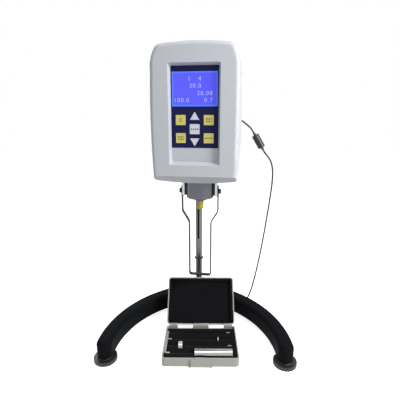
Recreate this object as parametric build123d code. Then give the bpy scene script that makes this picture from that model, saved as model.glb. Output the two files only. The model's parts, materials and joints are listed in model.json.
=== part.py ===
"""Rotational viscometer on a rack stand, with its case of spindles.

Frame: millimetres, +Z up, front of the head towards -Y.
The origin is on the column axis, at the level of the table.
"""
from build123d import *
import math
import os

# ---------------------------------------------------------------- stand sizes
COLUMN_D = 14.5
COLUMN_TOP = 545.0
COLUMN_THREAD_D = 12.0
COLUMN_THREAD_BOTTOM = 20.0
COLUMN_SHOULDER = 58.0
COLUMN_NUT_AF = 24.0
COLUMN_NUT_H = 8.0
BASE_TURN = 6.0
BASE_BOTTOM = 10.0
BASE_TOP = 40.0
BASE_WALL = 5.0
HUB_D = 58.0
HUB_TOP = 42.0
FOOT_X = 155.0
FOOT_Y = -206.0
LEG_END_R = 13.5
LEG_OUTER_R = 216.0
LEG_INNER_R = 179.0
LEG_EDGE_R = 8.0
FLUTE_R = 13.0
FLUTE_LENGTH = 95.0
FLUTE_TILT = 7.5
FLUTE_DIRECTION = 34.0
FLUTE_START = (14.0, -26.0)
FOOT_DISC_D = 40.0
FOOT_DISC_H = 7.0
FOOT_NECK_D = 17.0
FOOT_STUD_D = 8.0
FOOT_STUD_LENGTH = 14.0
FOOT_GRIPS = 24
FOOT_GRIP_R = 1.6
STOP_RING_D = 19.0
STOP_RING_H = 3.5
STOP_RING_Z = 101.0
COLUMN_CAP_D = 18.0
COLUMN_CAP_H = 9.0

# ------------------------------------------------------- rack and pinion sizes
RACK_MODULE = 1.25
RACK_WIDTH = 4.0
RACK_BOTTOM = 150.0
RACK_TEETH = 94
RACK_BACK_DEPTH = 5.2
PINION_TEETH = 14
PINION_WIDTH = 3.6
TOOTH_SHARE = 0.40
PINION_SHAFT_D = 8.0
LIFT_KNOB_D = 34.0
LIFT_KNOB_H = 20.0

# ------------------------------------------------------------ lift clamp sizes
CLAMP_BOTTOM = 383.0
CLAMP_TOP = 443.0
CLAMP_LEFT = -19.0
CLAMP_RIGHT = 33.0
CLAMP_FRONT = -29.0
CLAMP_BACK = 17.0
CLAMP_EDGE_R = 5.0
PINION_Z = 399.0
ROD_X = 18.0
ROD_Z = 426.0
ROD_D = 12.0
ROD_END = 24.0
ROD_FLANGE_D = 34.0
ROD_FLANGE_H = 4.0
SCREW_D = 6.0
SCREW_KNOB_D = 18.0
SCREW_KNOB_H = 12.0
SCREW_NECK = 4.0
TENSION_Z = 424.0

# ------------------------------------------------------------------ head sizes
HEAD_X = 17.5
HEAD_FRONT = -174.0
HEAD_BACK = -60.0
HEAD_SPLIT = -122.0
HEAD_BOTTOM = 305.2
HEAD_BOTTOM_CORNER = 310.0
HEAD_TOP = 519.3
HEAD_TOP_CORNER = 515.5
HEAD_HALF_BOTTOM = 67.5
HEAD_HALF_MIDDLE = 70.0
HEAD_HALF_SHOULDER = 68.3
HEAD_HALF_TOP = 57.7
HEAD_SHOULDER_Z = 477.0
HEAD_CORNER_BULGE = 3.4
HEAD_TOP_FILLET = 14.0
HEAD_SHOULDER_FILLET = 30.0
HEAD_BOTTOM_FILLET = 6.0
HEAD_EDGE_R = 7.0
HEAD_REAR_EDGE_R = 9.0
HEAD_CHIN = 13.0
HEAD_WALL = 3.0
SEAM_W = 0.8
LIP_T = 2.0
RECESS_DEPTH = 8.0
RECESS_HALF_TOP = 40.0
RECESS_TOP = 488.5
RECESS_BOTTOM = 336.0
RECESS_FLOOR_BOTTOM = 341.0
RECESS_SLOPE = 3.0
PANEL_W = 73.2
PANEL_TOP = 485.0
PANEL_BOTTOM = 363.2
PANEL_T = 2.4
LCD_W = 70.4
LCD_H = 50.6
LCD_TOP = 476.8
LCD_T = 2.0
KEY_SIZE = 15.3
KEY_CENTRE_Z = 392.0
KEY_ROW = 13.8
KEY_COLUMN = 22.0
ARROW_W = 14.6
ARROW_H = 12.0
ARROW_BASE = 14.2
KEY_PROUD = 0.7
KEY_TRAVEL = 0.5
KEY_LIP = 1.2
KEY_GAP = 0.3
BOARD_T = 1.6
BOARD_MARGIN = 5.0
BOARD_PARTS = [(-22, 460, 16, 16, 3), (10, 462, 22, 10, 3), (18, 430, 12, 12, 2.5),
               (-20, 428, 10, 18, 6), (0, 385, 30, 8, 5), (24, 375, 8, 8, 7)]

# ------------------------------------------------- spindle drive and cup sizes
SPINDLE_X = 18.0
SPINDLE_Y = -108.5
CHASSIS_Z = 314.0
CHASSIS_T = 3.0
UPRIGHT_HALF = 20.0
FLOOR_HALF = 52.0
CUP_D = 49.0
CUP_BOTTOM = 269.0
CUP_WALL = 4.0
CUP_NECK_D = 19.0
CUP_NECK_H = 5.0
SHAFT_D = 4.0
SHAFT_TOP = 350.0
COUPLING_D = 8.0
COUPLING_BOTTOM = 251.0
COUPLING_TOP = 263.7
COUPLING_BORE = 3.0
COUPLING_BORE_DEPTH = 8.0
TRANSIT_CAP_D = 12.5
TRANSIT_CAP_BOTTOM = 247.5
TRANSIT_CAP_TOP = 263.6
BEARING_D = 14.0
BEARING_H = 5.0
BEARING_Z = 276.0
MEASURING_DISC_D = 46.0
MEASURING_DISC_Z = 334.0
DRIVE_DISC_D = 60.0
DRIVE_DISC_Z = 356.0
DISC_T = 2.0
SPRING_Z = 343.0
SPRING_INNER_R = 5.0
SPRING_PITCH = 2.6
SPRING_TURNS = 5
SPRING_STRIP = (0.6, 3.0)
SPRING_POST_R = 2.0
DRIVE_SLOTS = 16
MOTOR_SIZE = 42.0
MOTOR_H = 34.0
MOTOR_PLATE_Z = 376.0
MOTOR_PLATE_T = 3.0
MOTOR_SHAFT_D = 5.0
PILLAR_D = 8.0
PILLAR_REACH = 37.0

# ----------------------------------------------------------------- guard sizes
GUARD_HALF = 33.5
GUARD_T = 2.0
GUARD_DEPTH = 8.0
GUARD_EAR_DEPTH = 12.0
GUARD_TOP = 291.0
GUARD_BEND_Z = 243.6
GUARD_NARROW_Z = 223.0
GUARD_NARROW_HALF = 21.0
GUARD_BOTTOM = 116.0
GUARD_CORNER_R = 4.0
LUG_T = 4.0
LUG_DEPTH = 14.0
LUG_BOTTOM = 272.0
GUARD_SCREW_Z = 281.0
GUARD_SCREW_D = 4.0
GUARD_SCREW_HEAD_D = 9.0
GUARD_SCREW_HEAD_H = 4.0

# --------------------------------------------------- rear and top fittings
SWITCH_X = -12.0
SWITCH_Z = 346.0
SWITCH_W = 13.0
SWITCH_H = 19.0
ROCKER_HALF = 6.6
SOCKET_X = 68.0
SOCKET_Z = 412.0
SOCKET_D = 11.0
PLUG_D = 9.5
PLUG_LENGTH = 24.0
PLUG_RELIEF = 12.0
LEVEL_Y = -96.0
LEVEL_D = 18.0
LEVEL_GLASS_D = 13.0
LEVEL_H = 7.0

# ------------------------------------------------------------------ case sizes
CASE_TURN = 7.5
CASE_X = 5.0
CASE_FRONT = -220.0
CASE_BACK = -128.6
CASE_W = 132.0
CASE_H = 16.7
CASE_WALL = 2.2
CASE_FLOOR = 2.0
CASE_CORNER_R = 6.0
LID_OPEN = 129.6
LID_H = 11.0
LID_WALL = 2.0
LID_FOAM_T = 3.0
HINGE_R = 3.0
HINGE_PIN_D = 2.0
HINGE_DROP = 0.6
WINDOW_INNER = 15.3
WINDOW_OUTER = 44.5
WINDOW_H = 5.5
FOAM_TOP = 14.6
FOAM_SIDE_GAP = 4.0
SIDE_GAP_FRONT = -203.0
SIDE_GAP_BACK = -141.0
LATCH_W = 33.0
LATCH_T = 2.2
LATCH_TONGUE_W = 17.0
SPINDLE_ROW_Y = (-203.0, -184.0, -166.0, -147.0)
SPINDLE_ROW_Z = 12.6
SPINDLE_STEM_D = 3.2
SPINDLE_LENGTH = 115.0
SPINDLE_1 = (18.84, 65.1)
SPINDLE_2 = (18.7, 6.9)
SPINDLE_3 = (12.7, 1.7)
SPINDLE_4 = (3.2, 31.0)
SPINDLE_LEFT = -56.0
FOAM_GAP = 0.35

# ------------------------------------------------------------------ lead sizes
CORD_D = 3.3
FERRITE_D = 14.5
FERRITE_LENGTH = 29.0
ADAPTER = (56.0, 32.0, 26.0)
ADAPTER_PIN = (1.6, 6.3, 16.0)
ADAPTER_PIN_SPACING = 12.7
COIL_D = 46.0
COIL_H = 13.0
COIL_INLET = 14.0

# ------------------------------------------------------------------ clearances
SLIDE_GAP = 0.05
RUN_GAP = 0.05
LOOSE_GAP = 0.3


def save(node, shape):
    """Write one node's solids to parts/NODE.step."""
    shape.label = node
    export_step(shape, f"parts/{node}.step")


def rod(radius, start, end, x=0.0, y=0.0):
    """A vertical cylinder from one height to another."""
    return Pos(x, y, (start + end) / 2) * Cylinder(radius, end - start)


def rod_x(radius, start, end, y=0.0, z=0.0):
    """A cylinder along X."""
    return Pos((start + end) / 2, y, z) * Rot(0, 90, 0) * Cylinder(radius, end - start)


def rod_y(radius, start, end, x=0.0, z=0.0):
    """A cylinder along Y."""
    return Pos(x, (start + end) / 2, z) * Rot(90, 0, 0) * Cylinder(radius, end - start)


def block(x, y, z):
    """A box given by its limits along each axis."""
    size = [high - low for low, high in (x, y, z)]
    centre = [(high + low) / 2 for low, high in (x, y, z)]
    return Pos(*centre) * Box(*size)


def rounded_block(x, y, z, radius):
    """A box whose vertical edges are rounded."""
    solid = block(x, y, z)
    return fillet(solid.edges().filter_by(Axis.Z), radius)


def arc_point(centre, radius, degrees):
    """A point of a circle in the plane."""
    angle = math.radians(degrees)
    return (centre[0] + radius * math.cos(angle), centre[1] + radius * math.sin(angle))


def knurled(radius, height, grips, grip_radius):
    """A disc on the XY plane with a scalloped rim."""
    scallops = PolarLocations(radius + 0.45 * grip_radius, grips) * Cylinder(grip_radius, height * 2)
    return Pos(0, 0, height / 2) * Cylinder(radius, height) - scallops


# ------------------------------------------------------------------ the stand
def half_arch(inset):
    """Plan of the right leg up to the middle plane, drawn in by an inset."""
    outer_r = LEG_OUTER_R - inset
    inner_r = LEG_INNER_R + inset
    end_r = LEG_END_R - inset
    outer_centre = (FOOT_X + LEG_END_R - LEG_OUTER_R, FOOT_Y)
    inner_centre = (FOOT_X - LEG_END_R - LEG_INNER_R, FOOT_Y)
    outer_angle = math.degrees(math.acos(-outer_centre[0] / outer_r))
    inner_angle = math.degrees(math.acos(-inner_centre[0] / inner_r))
    outer_top = arc_point(outer_centre, outer_r, outer_angle)
    outer_end = arc_point(outer_centre, outer_r, 0)
    inner_end = arc_point(inner_centre, inner_r, 0)
    inner_top = arc_point(inner_centre, inner_r, inner_angle)
    edges = [
        ThreePointArc(outer_top, arc_point(outer_centre, outer_r, outer_angle / 2), outer_end),
        ThreePointArc(outer_end, (FOOT_X, FOOT_Y - end_r), inner_end),
        ThreePointArc(inner_end, arc_point(inner_centre, inner_r, inner_angle / 2), inner_top),
        Line(inner_top, outer_top),
    ]
    return make_face(Curve() + edges)


def arch(inset, bottom, top):
    """Both legs as one solid between two heights."""
    right = extrude(Pos(0, 0, bottom) * half_arch(inset), top - bottom)
    return right + mirror(right, Plane.YZ)


def flute(side):
    """The long hollow that fades out along the top of one leg."""
    x, y = FLUTE_START
    cutter = rod_x(FLUTE_R, -FLUTE_LENGTH, FLUTE_LENGTH)
    cutter = Rot(0, -FLUTE_TILT, 0) * cutter
    cutter = Pos(x, y, BASE_TOP + FLUTE_R - 4) * Rot(0, 0, -FLUTE_DIRECTION) * cutter
    return cutter if side > 0 else mirror(cutter, Plane.YZ)


def base_casting():
    """Arched casting, hollow below, with a hub for the column and three bored pads."""
    body = arch(0, BASE_BOTTOM, BASE_TOP)
    top_edges = body.faces().sort_by(Axis.Z)[-1].edges()
    body = fillet(top_edges, LEG_EDGE_R)
    body -= flute(1)
    body -= flute(-1)
    body -= arch(BASE_WALL, BASE_BOTTOM - 1, BASE_TOP - BASE_WALL - FLUTE_R / 2)
    hub = rod(HUB_D / 2, BASE_BOTTOM, HUB_TOP)
    body += fillet(hub.faces().sort_by(Axis.Z)[-1].edges(), BASE_WALL)
    for x in (-FOOT_X, FOOT_X):
        body += rod(LEG_END_R - BASE_WALL / 2, BASE_BOTTOM, BASE_TOP - LEG_EDGE_R, x, FOOT_Y)
    for x, y in foot_places():
        body -= rod(FOOT_STUD_D / 2 + SLIDE_GAP, BASE_BOTTOM - 1, stud_top() + 1, x, y)
    body -= rod(COLUMN_THREAD_D / 2 + SLIDE_GAP, COLUMN_THREAD_BOTTOM - 0.5, HUB_TOP + 1)
    return turned_base(body)


def foot_places():
    """Plan of the three feet before the base is turned: left, right, rear."""
    return [(-FOOT_X, FOOT_Y), (FOOT_X, FOOT_Y), (0, 0)]


def turned_base(shape):
    """The base stands turned about the column."""
    return Rot(0, 0, BASE_TURN) * shape


def stud_top():
    """Height that a foot's stud reaches inside its pad."""
    return min(BASE_BOTTOM + FOOT_STUD_LENGTH, COLUMN_THREAD_BOTTOM - 2)


def foot(x, y):
    """A knurled levelling disc with a neck and a threaded stud."""
    disc = knurled(FOOT_DISC_D / 2, FOOT_DISC_H, FOOT_GRIPS, FOOT_GRIP_R)
    neck = Pos(0, 0, FOOT_DISC_H) * Cone(FOOT_NECK_D / 2 + 4, FOOT_NECK_D / 2, BASE_BOTTOM - FOOT_DISC_H,
                                         align=(Align.CENTER, Align.CENTER, Align.MIN))
    stud = rod(FOOT_STUD_D / 2, BASE_BOTTOM, stud_top())
    return turned_base(Pos(x, y, 0) * (disc + neck + stud))


def rack_tip():
    """Distance of the tooth tips from the column axis, just inside its surface."""
    return math.sqrt((COLUMN_D / 2) ** 2 - (RACK_WIDTH / 2) ** 2)


def rack_pitch_line():
    """Distance of the rack's pitch line from the column axis."""
    return rack_tip() - RACK_MODULE


def rack_pitch():
    """Spacing of the rack teeth."""
    return math.pi * RACK_MODULE


def rack_top():
    """Height where the last tooth of the rack ends."""
    return RACK_BOTTOM + RACK_TEETH * rack_pitch()


def column():
    """Steel column, threaded below its shoulder, with a slot for the rack."""
    body = rod(COLUMN_D / 2, COLUMN_SHOULDER, COLUMN_TOP)
    body += rod(COLUMN_THREAD_D / 2, COLUMN_THREAD_BOTTOM, COLUMN_SHOULDER)
    slot = block((-RACK_WIDTH / 2, RACK_WIDTH / 2), (-COLUMN_D, -(COLUMN_D / 2 - RACK_BACK_DEPTH)),
                 (RACK_BOTTOM, rack_top()))
    return body - slot


def column_rack():
    """Toothed strip let into the front of the column."""
    pitch = rack_pitch()
    tip = rack_tip()
    root = rack_pitch_line() - 1.25 * RACK_MODULE
    half_pitch_line = TOOTH_SHARE * pitch / 2
    lean = RACK_MODULE * math.tan(math.radians(20))
    points = [(-(COLUMN_D / 2 - RACK_BACK_DEPTH), RACK_BOTTOM), (-root, RACK_BOTTOM)]
    for index in range(RACK_TEETH):
        middle = RACK_BOTTOM + (index + 0.5) * pitch
        points.append((-root, middle - half_pitch_line - 1.25 * lean))
        points.append((-tip, middle - half_pitch_line + lean))
        points.append((-tip, middle + half_pitch_line - lean))
        points.append((-root, middle + half_pitch_line + 1.25 * lean))
    points += [(-root, rack_top()), (-(COLUMN_D / 2 - RACK_BACK_DEPTH), rack_top())]
    profile = make_face(Polyline([(0, y, z) for y, z in points], close=True))
    return extrude(profile, RACK_WIDTH / 2, dir=(1, 0, 0), both=True)


def column_nut():
    """Hexagon nut that locks the column to the hub."""
    nut = extrude(RegularPolygon(COLUMN_NUT_AF / math.sqrt(3), 6), COLUMN_NUT_H)
    nut = Pos(0, 0, HUB_TOP) * nut
    return nut - rod(COLUMN_THREAD_D / 2, HUB_TOP - 1, HUB_TOP + COLUMN_NUT_H + 1)


def stop_ring():
    """Rubber ring that marks the lowest place of the lift."""
    ring = rod(STOP_RING_D / 2, STOP_RING_Z, STOP_RING_Z + STOP_RING_H)
    ring = fillet(ring.edges().filter_by(GeomType.CIRCLE), STOP_RING_H / 3)
    return ring - rod(COLUMN_D / 2, STOP_RING_Z - 1, STOP_RING_Z + STOP_RING_H + 1)


def column_cap():
    """Moulded cap over the top of the column."""
    bottom = COLUMN_TOP - COLUMN_CAP_H
    cap = rod(COLUMN_CAP_D / 2, bottom, COLUMN_TOP + 2)
    cap = fillet(cap.edges().filter_by(GeomType.CIRCLE).sort_by(Axis.Z)[-1], 3)
    return cap - rod(COLUMN_D / 2, bottom - 1, COLUMN_TOP)


# ------------------------------------------------------------------- the lift
def pinion_y():
    """Distance of the pinion axis in front of the column."""
    return -(rack_pitch_line() + PINION_TEETH * RACK_MODULE / 2)


def pinion_phase():
    """Turn that sets a gap of the pinion over a tooth of the rack."""
    teeth_up = (PINION_Z - RACK_BOTTOM) / rack_pitch() - 0.5
    return 360 / PINION_TEETH * (0.5 - (teeth_up - math.floor(teeth_up)))


def pinion_profile():
    """Outline of the pinion, each tooth with curved flanks, first tooth along X."""
    pitch_r = PINION_TEETH * RACK_MODULE / 2
    base_r = pitch_r * math.cos(math.radians(20))
    root_r = pitch_r - 1.25 * RACK_MODULE
    tip_r = pitch_r + RACK_MODULE
    half_tooth = TOOTH_SHARE * math.pi / PINION_TEETH
    edges = []
    start = None
    previous = None
    for index in range(PINION_TEETH):
        middle = 2 * math.pi * index / PINION_TEETH
        flank = []
        for radius in (root_r, base_r, pitch_r, tip_r):
            roll = math.acos(min(1.0, base_r / max(radius, base_r)))
            involute = math.tan(roll) - roll
            spread = half_tooth + INVOLUTE_20 - involute
            flank.append((radius, spread))
        left = [(r * math.cos(middle - a), r * math.sin(middle - a)) for r, a in flank]
        right = [(r * math.cos(middle + a), r * math.sin(middle + a)) for r, a in reversed(flank)]
        if previous:
            edges.append(Line(previous, left[0]))
        else:
            start = left[0]
        edges.append(Polyline(left + right))
        previous = right[-1]
    edges.append(Line(previous, start))
    return make_face(Curve() + edges)


INVOLUTE_20 = math.tan(math.radians(20)) - math.radians(20)


def pinion_shaft():
    """Toothed wheel on the cross shaft that the lift knob turns."""
    wheel = extrude(pinion_profile(), PINION_WIDTH / 2, both=True)
    wheel = Rot(0, 0, pinion_phase()) * wheel
    axle = Plane(origin=(0, pinion_y(), PINION_Z), x_dir=(0, 1, 0), z_dir=(1, 0, 0))
    wheel = axle * wheel
    left = CLAMP_LEFT + CLAMP_EDGE_R
    right = CLAMP_RIGHT + SCREW_NECK + LIFT_KNOB_H - 2
    return wheel + rod_x(PINION_SHAFT_D / 2, left, right, pinion_y(), PINION_Z)


def lift_knob():
    """Fluted knob that raises and lowers the head."""
    knob = knurled(LIFT_KNOB_D / 2, LIFT_KNOB_H, 18, 2.2)
    collar = Pos(0, 0, -SCREW_NECK + 1) * Cylinder(
        LIFT_KNOB_D / 3, SCREW_NECK - 1, align=(Align.CENTER, Align.CENTER, Align.MIN))
    knob = knob + collar
    knob -= Pos(0, 0, -SCREW_NECK) * Cylinder(
        PINION_SHAFT_D / 2, LIFT_KNOB_H + SCREW_NECK - 2, align=(Align.CENTER, Align.CENTER, Align.MIN))
    return Pos(CLAMP_RIGHT + SCREW_NECK, pinion_y(), PINION_Z) * Rot(0, 90, 0) * knob


def lift_clamp():
    """Sliding block with bores for the column, the pinion and the head's rod."""
    body = rounded_block((CLAMP_LEFT, CLAMP_RIGHT), (CLAMP_FRONT, CLAMP_BACK),
                         (CLAMP_BOTTOM, CLAMP_TOP), CLAMP_EDGE_R)
    body = chamfer(body.faces().sort_by(Axis.Z)[-1].edges(), 1.5)
    body -= rod(COLUMN_D / 2 + SLIDE_GAP, CLAMP_BOTTOM - 1, CLAMP_TOP + 1)
    tip_r = PINION_TEETH * RACK_MODULE / 2 + RACK_MODULE
    body -= rod_x(tip_r + 1, -PINION_WIDTH / 2 - 1, PINION_WIDTH / 2 + 1, pinion_y(), PINION_Z)
    body -= rod_x(PINION_SHAFT_D / 2 + RUN_GAP, CLAMP_LEFT + CLAMP_EDGE_R - 1, CLAMP_RIGHT + 1,
                  pinion_y(), PINION_Z)
    body -= rod_y(ROD_D / 2 + SLIDE_GAP, CLAMP_FRONT - 1, CLAMP_BACK + 1, ROD_X, ROD_Z)
    body -= rod(SCREW_D / 2 + RUN_GAP, ROD_Z, CLAMP_TOP + 1, ROD_X, clamp_screw_y())
    body -= rod_x(SCREW_D / 2 + RUN_GAP, CLAMP_LEFT - 1, 0, 0, TENSION_Z)
    return body


def clamp_screw_y():
    """Place of the head clamp screw along the rod."""
    return (CLAMP_FRONT + CLAMP_BACK) / 2


def thumb_screw(length):
    """Knurled thumb screw, head from the origin up, shank down."""
    head = knurled(SCREW_KNOB_D / 2, SCREW_KNOB_H, 16, 1.2)
    neck = Pos(0, 0, -SCREW_NECK / 2) * Cylinder(SCREW_D / 2 + 2, SCREW_NECK)
    shank = Pos(0, 0, -length / 2) * Cylinder(SCREW_D / 2, length)
    return head + neck + shank


def head_clamp_screw():
    """Screw that grips the head's rod in the clamp."""
    seat = CLAMP_TOP + SCREW_NECK
    length = seat - (ROD_Z + ROD_D / 2) - SLIDE_GAP
    return Pos(ROD_X, clamp_screw_y(), seat) * thumb_screw(length)


def tension_screw():
    """Screw that sets how stiffly the clamp slides on the column."""
    seat = CLAMP_LEFT - SCREW_NECK
    length = -seat - COLUMN_D / 2 - SLIDE_GAP
    return Pos(seat, 0, TENSION_Z) * Rot(0, -90, 0) * thumb_screw(length)


# ------------------------------------------------------------ the head housing
def head_outline(inset):
    """Front view of the housing, drawn in by an inset, about the head's middle line."""
    bottom = HEAD_HALF_BOTTOM - inset
    middle = HEAD_HALF_MIDDLE - inset
    shoulder = HEAD_HALF_SHOULDER - inset
    top = HEAD_HALF_TOP - inset * 0.7
    low, low_corner = HEAD_BOTTOM + inset, HEAD_BOTTOM_CORNER + inset
    high, high_corner = HEAD_TOP - inset, HEAD_TOP_CORNER - inset
    shoulder_z = HEAD_SHOULDER_Z
    middle_z = (low_corner + shoulder_z) / 2
    bulge_x = (shoulder + top) / 2 + HEAD_CORNER_BULGE
    bulge_z = (shoulder_z + high_corner) / 2 + HEAD_CORNER_BULGE / 2
    edges = [
        ThreePointArc((-bottom, low_corner), (0, low), (bottom, low_corner)),
        ThreePointArc((bottom, low_corner), (middle, middle_z), (shoulder, shoulder_z)),
        ThreePointArc((shoulder, shoulder_z), (bulge_x, bulge_z), (top, high_corner)),
        ThreePointArc((top, high_corner), (0, high), (-top, high_corner)),
        ThreePointArc((-top, high_corner), (-bulge_x, bulge_z), (-shoulder, shoulder_z)),
        ThreePointArc((-shoulder, shoulder_z), (-middle, middle_z), (-bottom, low_corner)),
    ]
    return make_face(Curve() + edges)


def head_solid(inset, front, back):
    """The housing's outline carried from one depth to another, its corners rounded."""
    face = head_outline(inset)
    face = fillet(face.vertices().sort_by(Axis.Y)[:2], HEAD_BOTTOM_FILLET - inset * 0.5)
    face = fillet(face.vertices().sort_by(Axis.Y)[-2:], HEAD_TOP_FILLET - inset)
    shoulders = face.vertices().filter_by_position(Axis.Y, HEAD_SHOULDER_Z - 1, HEAD_SHOULDER_Z + 1)
    face = fillet(shoulders, HEAD_SHOULDER_FILLET)
    solid = extrude(face, back - front)
    return Pos(HEAD_X, back, 0) * Rot(90, 0, 0) * solid


def chin(inset):
    """Wedge that slopes the lower front edge of the housing."""
    wall = inset * (math.sqrt(2) - 1)
    reach = HEAD_CHIN - wall
    far = 4 * HEAD_CHIN
    front = HEAD_FRONT + inset
    profile = make_face(Polyline([
        (0, front + reach, HEAD_BOTTOM + inset),
        (0, front - far, HEAD_BOTTOM + inset + reach + far),
        (0, front - far, HEAD_BOTTOM - far),
        (0, front + reach, HEAD_BOTTOM - far),
    ], close=True))
    wedge = extrude(profile, HEAD_HALF_MIDDLE * 2, dir=(1, 0, 0), both=True)
    return wedge


def recess():
    """Window recess with sloped walls, its lower ledge deeper than its sides."""
    def frame(depth_y, share):
        half = RECESS_HALF_TOP - RECESS_SLOPE * share
        top = RECESS_TOP - RECESS_SLOPE * share
        bottom = RECESS_BOTTOM + (RECESS_FLOOR_BOTTOM - RECESS_BOTTOM) * share
        sketch = Pos(0, (top + bottom) / 2) * RectangleRounded(2 * half, top - bottom, 2.5)
        return Pos(HEAD_X, depth_y, 0) * Rot(90, 0, 0) * sketch
    over = 0.25
    outer = frame(HEAD_FRONT - over * RECESS_DEPTH, -over)
    inner = frame(HEAD_FRONT + RECESS_DEPTH, 1)
    return loft([outer, inner])


def recess_back():
    """Material kept behind the recess inside the hollow housing."""
    half = RECESS_HALF_TOP + HEAD_WALL
    return block((HEAD_X - half, HEAD_X + half), (HEAD_FRONT, HEAD_FRONT + RECESS_DEPTH + HEAD_WALL),
                 (RECESS_BOTTOM - HEAD_WALL, RECESS_TOP + HEAD_WALL))


def panel_cut(gap):
    """Space of the keypad panel with a clearance."""
    half = PANEL_W / 2 + gap
    return block((HEAD_X - half, HEAD_X + half),
                 (HEAD_FRONT + RECESS_DEPTH - 1, HEAD_FRONT + RECESS_DEPTH + HEAD_WALL + 1),
                 (PANEL_BOTTOM - gap, PANEL_TOP + gap))


def housing():
    """The whole hollow housing before it is split into two shells."""
    outer = head_solid(0, HEAD_FRONT, HEAD_BACK)
    front_edges = outer.edges().filter_by_position(Axis.Y, HEAD_FRONT - 0.1, HEAD_FRONT + 0.1)
    outer = fillet(front_edges, HEAD_EDGE_R)
    rear_edges = outer.edges().filter_by_position(Axis.Y, HEAD_BACK - 0.1, HEAD_BACK + 0.1)
    outer = fillet(rear_edges, HEAD_REAR_EDGE_R)
    outer -= chin(0)
    cavity = head_solid(HEAD_WALL, HEAD_FRONT + HEAD_WALL, HEAD_BACK - HEAD_WALL) - chin(HEAD_WALL)
    return outer - (cavity - recess_back())


def bottom_opening():
    """Holes in the floor of the housing for the cup and the guard's lugs."""
    cut = rod(CUP_D / 2 + 1, HEAD_BOTTOM - 2, CHASSIS_Z, SPINDLE_X, SPINDLE_Y)
    for side in (-1, 1):
        middle = SPINDLE_X + side * (GUARD_HALF - GUARD_T - LUG_T / 2)
        reach = LUG_T / 2 + LOOSE_GAP
        depth = LUG_DEPTH / 2 + LOOSE_GAP
        cut += block((middle - reach, middle + reach), (SPINDLE_Y - depth, SPINDLE_Y + depth),
                     (HEAD_BOTTOM - 2, CHASSIS_Z))
    return cut


def screw_places():
    """Places of the four housing screws on the rear shell."""
    return [(HEAD_X + sx * 50, z) for sx in (-1, 1) for z in (330, 488)]


def front_shell():
    """Front half of the housing, with the window recess."""
    body = housing() & block((-200, 250), (HEAD_FRONT - 5, HEAD_SPLIT - SEAM_W / 2), (250, 560))
    body -= recess()
    body -= panel_cut(LOOSE_GAP)
    body -= bottom_opening()
    for x, z in screw_places():
        boss = rod_y(4.5, HEAD_FRONT + HEAD_WALL, HEAD_SPLIT - SEAM_W, x, z)
        body += boss - rod_y(1.5, HEAD_SPLIT - 14, HEAD_SPLIT, x, z)
    return body


def rear_shell():
    """Rear half of the housing, with the sockets, the switch and the level."""
    body = housing() & block((-200, 250), (HEAD_SPLIT + SEAM_W / 2, HEAD_BACK + 5), (250, 560))
    lip = head_solid(HEAD_WALL + 0.2, HEAD_SPLIT - 3, HEAD_SPLIT + 6)
    lip -= head_solid(HEAD_WALL + LIP_T, HEAD_SPLIT - 4, HEAD_SPLIT + 7)
    lip_root = head_solid(HEAD_WALL - 0.5, HEAD_SPLIT + SEAM_W / 2 + 1, HEAD_SPLIT + 6)
    lip_root -= head_solid(HEAD_WALL + LIP_T, HEAD_SPLIT - 4, HEAD_SPLIT + 7)
    body += lip + lip_root
    body -= bottom_opening()
    for x, z in screw_places():
        boss = rod_y(4.5, HEAD_SPLIT + SEAM_W, HEAD_BACK - 1, x, z)
        body += boss
        body -= rod_y(1.8, HEAD_SPLIT - 5, HEAD_BACK + 1, x, z)
        body -= rod_y(3.4, HEAD_BACK - 4, HEAD_BACK + 1, x, z)
    body -= rod_y(ROD_D / 2 + LOOSE_GAP, HEAD_BACK - 2 * HEAD_WALL, HEAD_BACK + 1, ROD_X, ROD_Z)
    body -= block((SWITCH_X - SWITCH_W / 2, SWITCH_X + SWITCH_W / 2), (HEAD_BACK - 10, HEAD_BACK + 1),
                  (SWITCH_Z - SWITCH_H / 2, SWITCH_Z + SWITCH_H / 2))
    body -= rod_y(SOCKET_D / 2, HEAD_BACK - 10, HEAD_BACK + 1, SOCKET_X, SOCKET_Z)
    body -= rod(LEVEL_D / 2, level_floor(), HEAD_TOP + 1, ROD_X, LEVEL_Y)
    return body


def level_floor():
    """Height of the seat of the spirit level in the top of the housing."""
    return HEAD_TOP - LEVEL_H


def housing_screws():
    """Four countersunk-in screws that join the shells."""
    screws = []
    for x, z in screw_places():
        head = rod_y(3.2, HEAD_BACK - 4, HEAD_BACK - 1.5, x, z)
        shank = rod_y(1.45, HEAD_SPLIT - 12, HEAD_BACK - 4, x, z)
        drive = block((x - 2, x + 2), (HEAD_BACK - 2.3, HEAD_BACK - 1), (z - 0.4, z + 0.4))
        drive += block((x - 0.4, x + 0.4), (HEAD_BACK - 2.3, HEAD_BACK - 1), (z - 2, z + 2))
        screws.append(head + shank - drive)
    return Compound(children=screws)


def spirit_level():
    """Circular level: metal bezel and glass with its bubble space."""
    bezel = rod(LEVEL_D / 2 - SLIDE_GAP, level_floor(), HEAD_TOP + 1.2, ROD_X, LEVEL_Y)
    bezel -= rod(LEVEL_GLASS_D / 2, level_floor() + 1.5, HEAD_TOP + 2, ROD_X, LEVEL_Y)
    glass = rod(LEVEL_GLASS_D / 2, level_floor() + 1.5, HEAD_TOP + 0.4, ROD_X, LEVEL_Y)
    return bezel, glass


# ------------------------------------------------------ panel, display and keys
def panel_front():
    """Depth of the keypad panel's face."""
    return HEAD_FRONT + RECESS_DEPTH - 0.4


def square_key_places():
    """Centres of the square keys: four at the corners and one in the middle."""
    corners = [("key_upper_left", -KEY_COLUMN, KEY_ROW), ("key_upper_right", KEY_COLUMN, KEY_ROW),
               ("key_lower_left", -KEY_COLUMN, -KEY_ROW), ("key_lower_right", KEY_COLUMN, -KEY_ROW)]
    return corners + [("key_middle", 0, 0)]


def arrow_places():
    """Arrow keys: name and direction up or down."""
    return [("key_up", 1), ("key_down", -1)]


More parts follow.
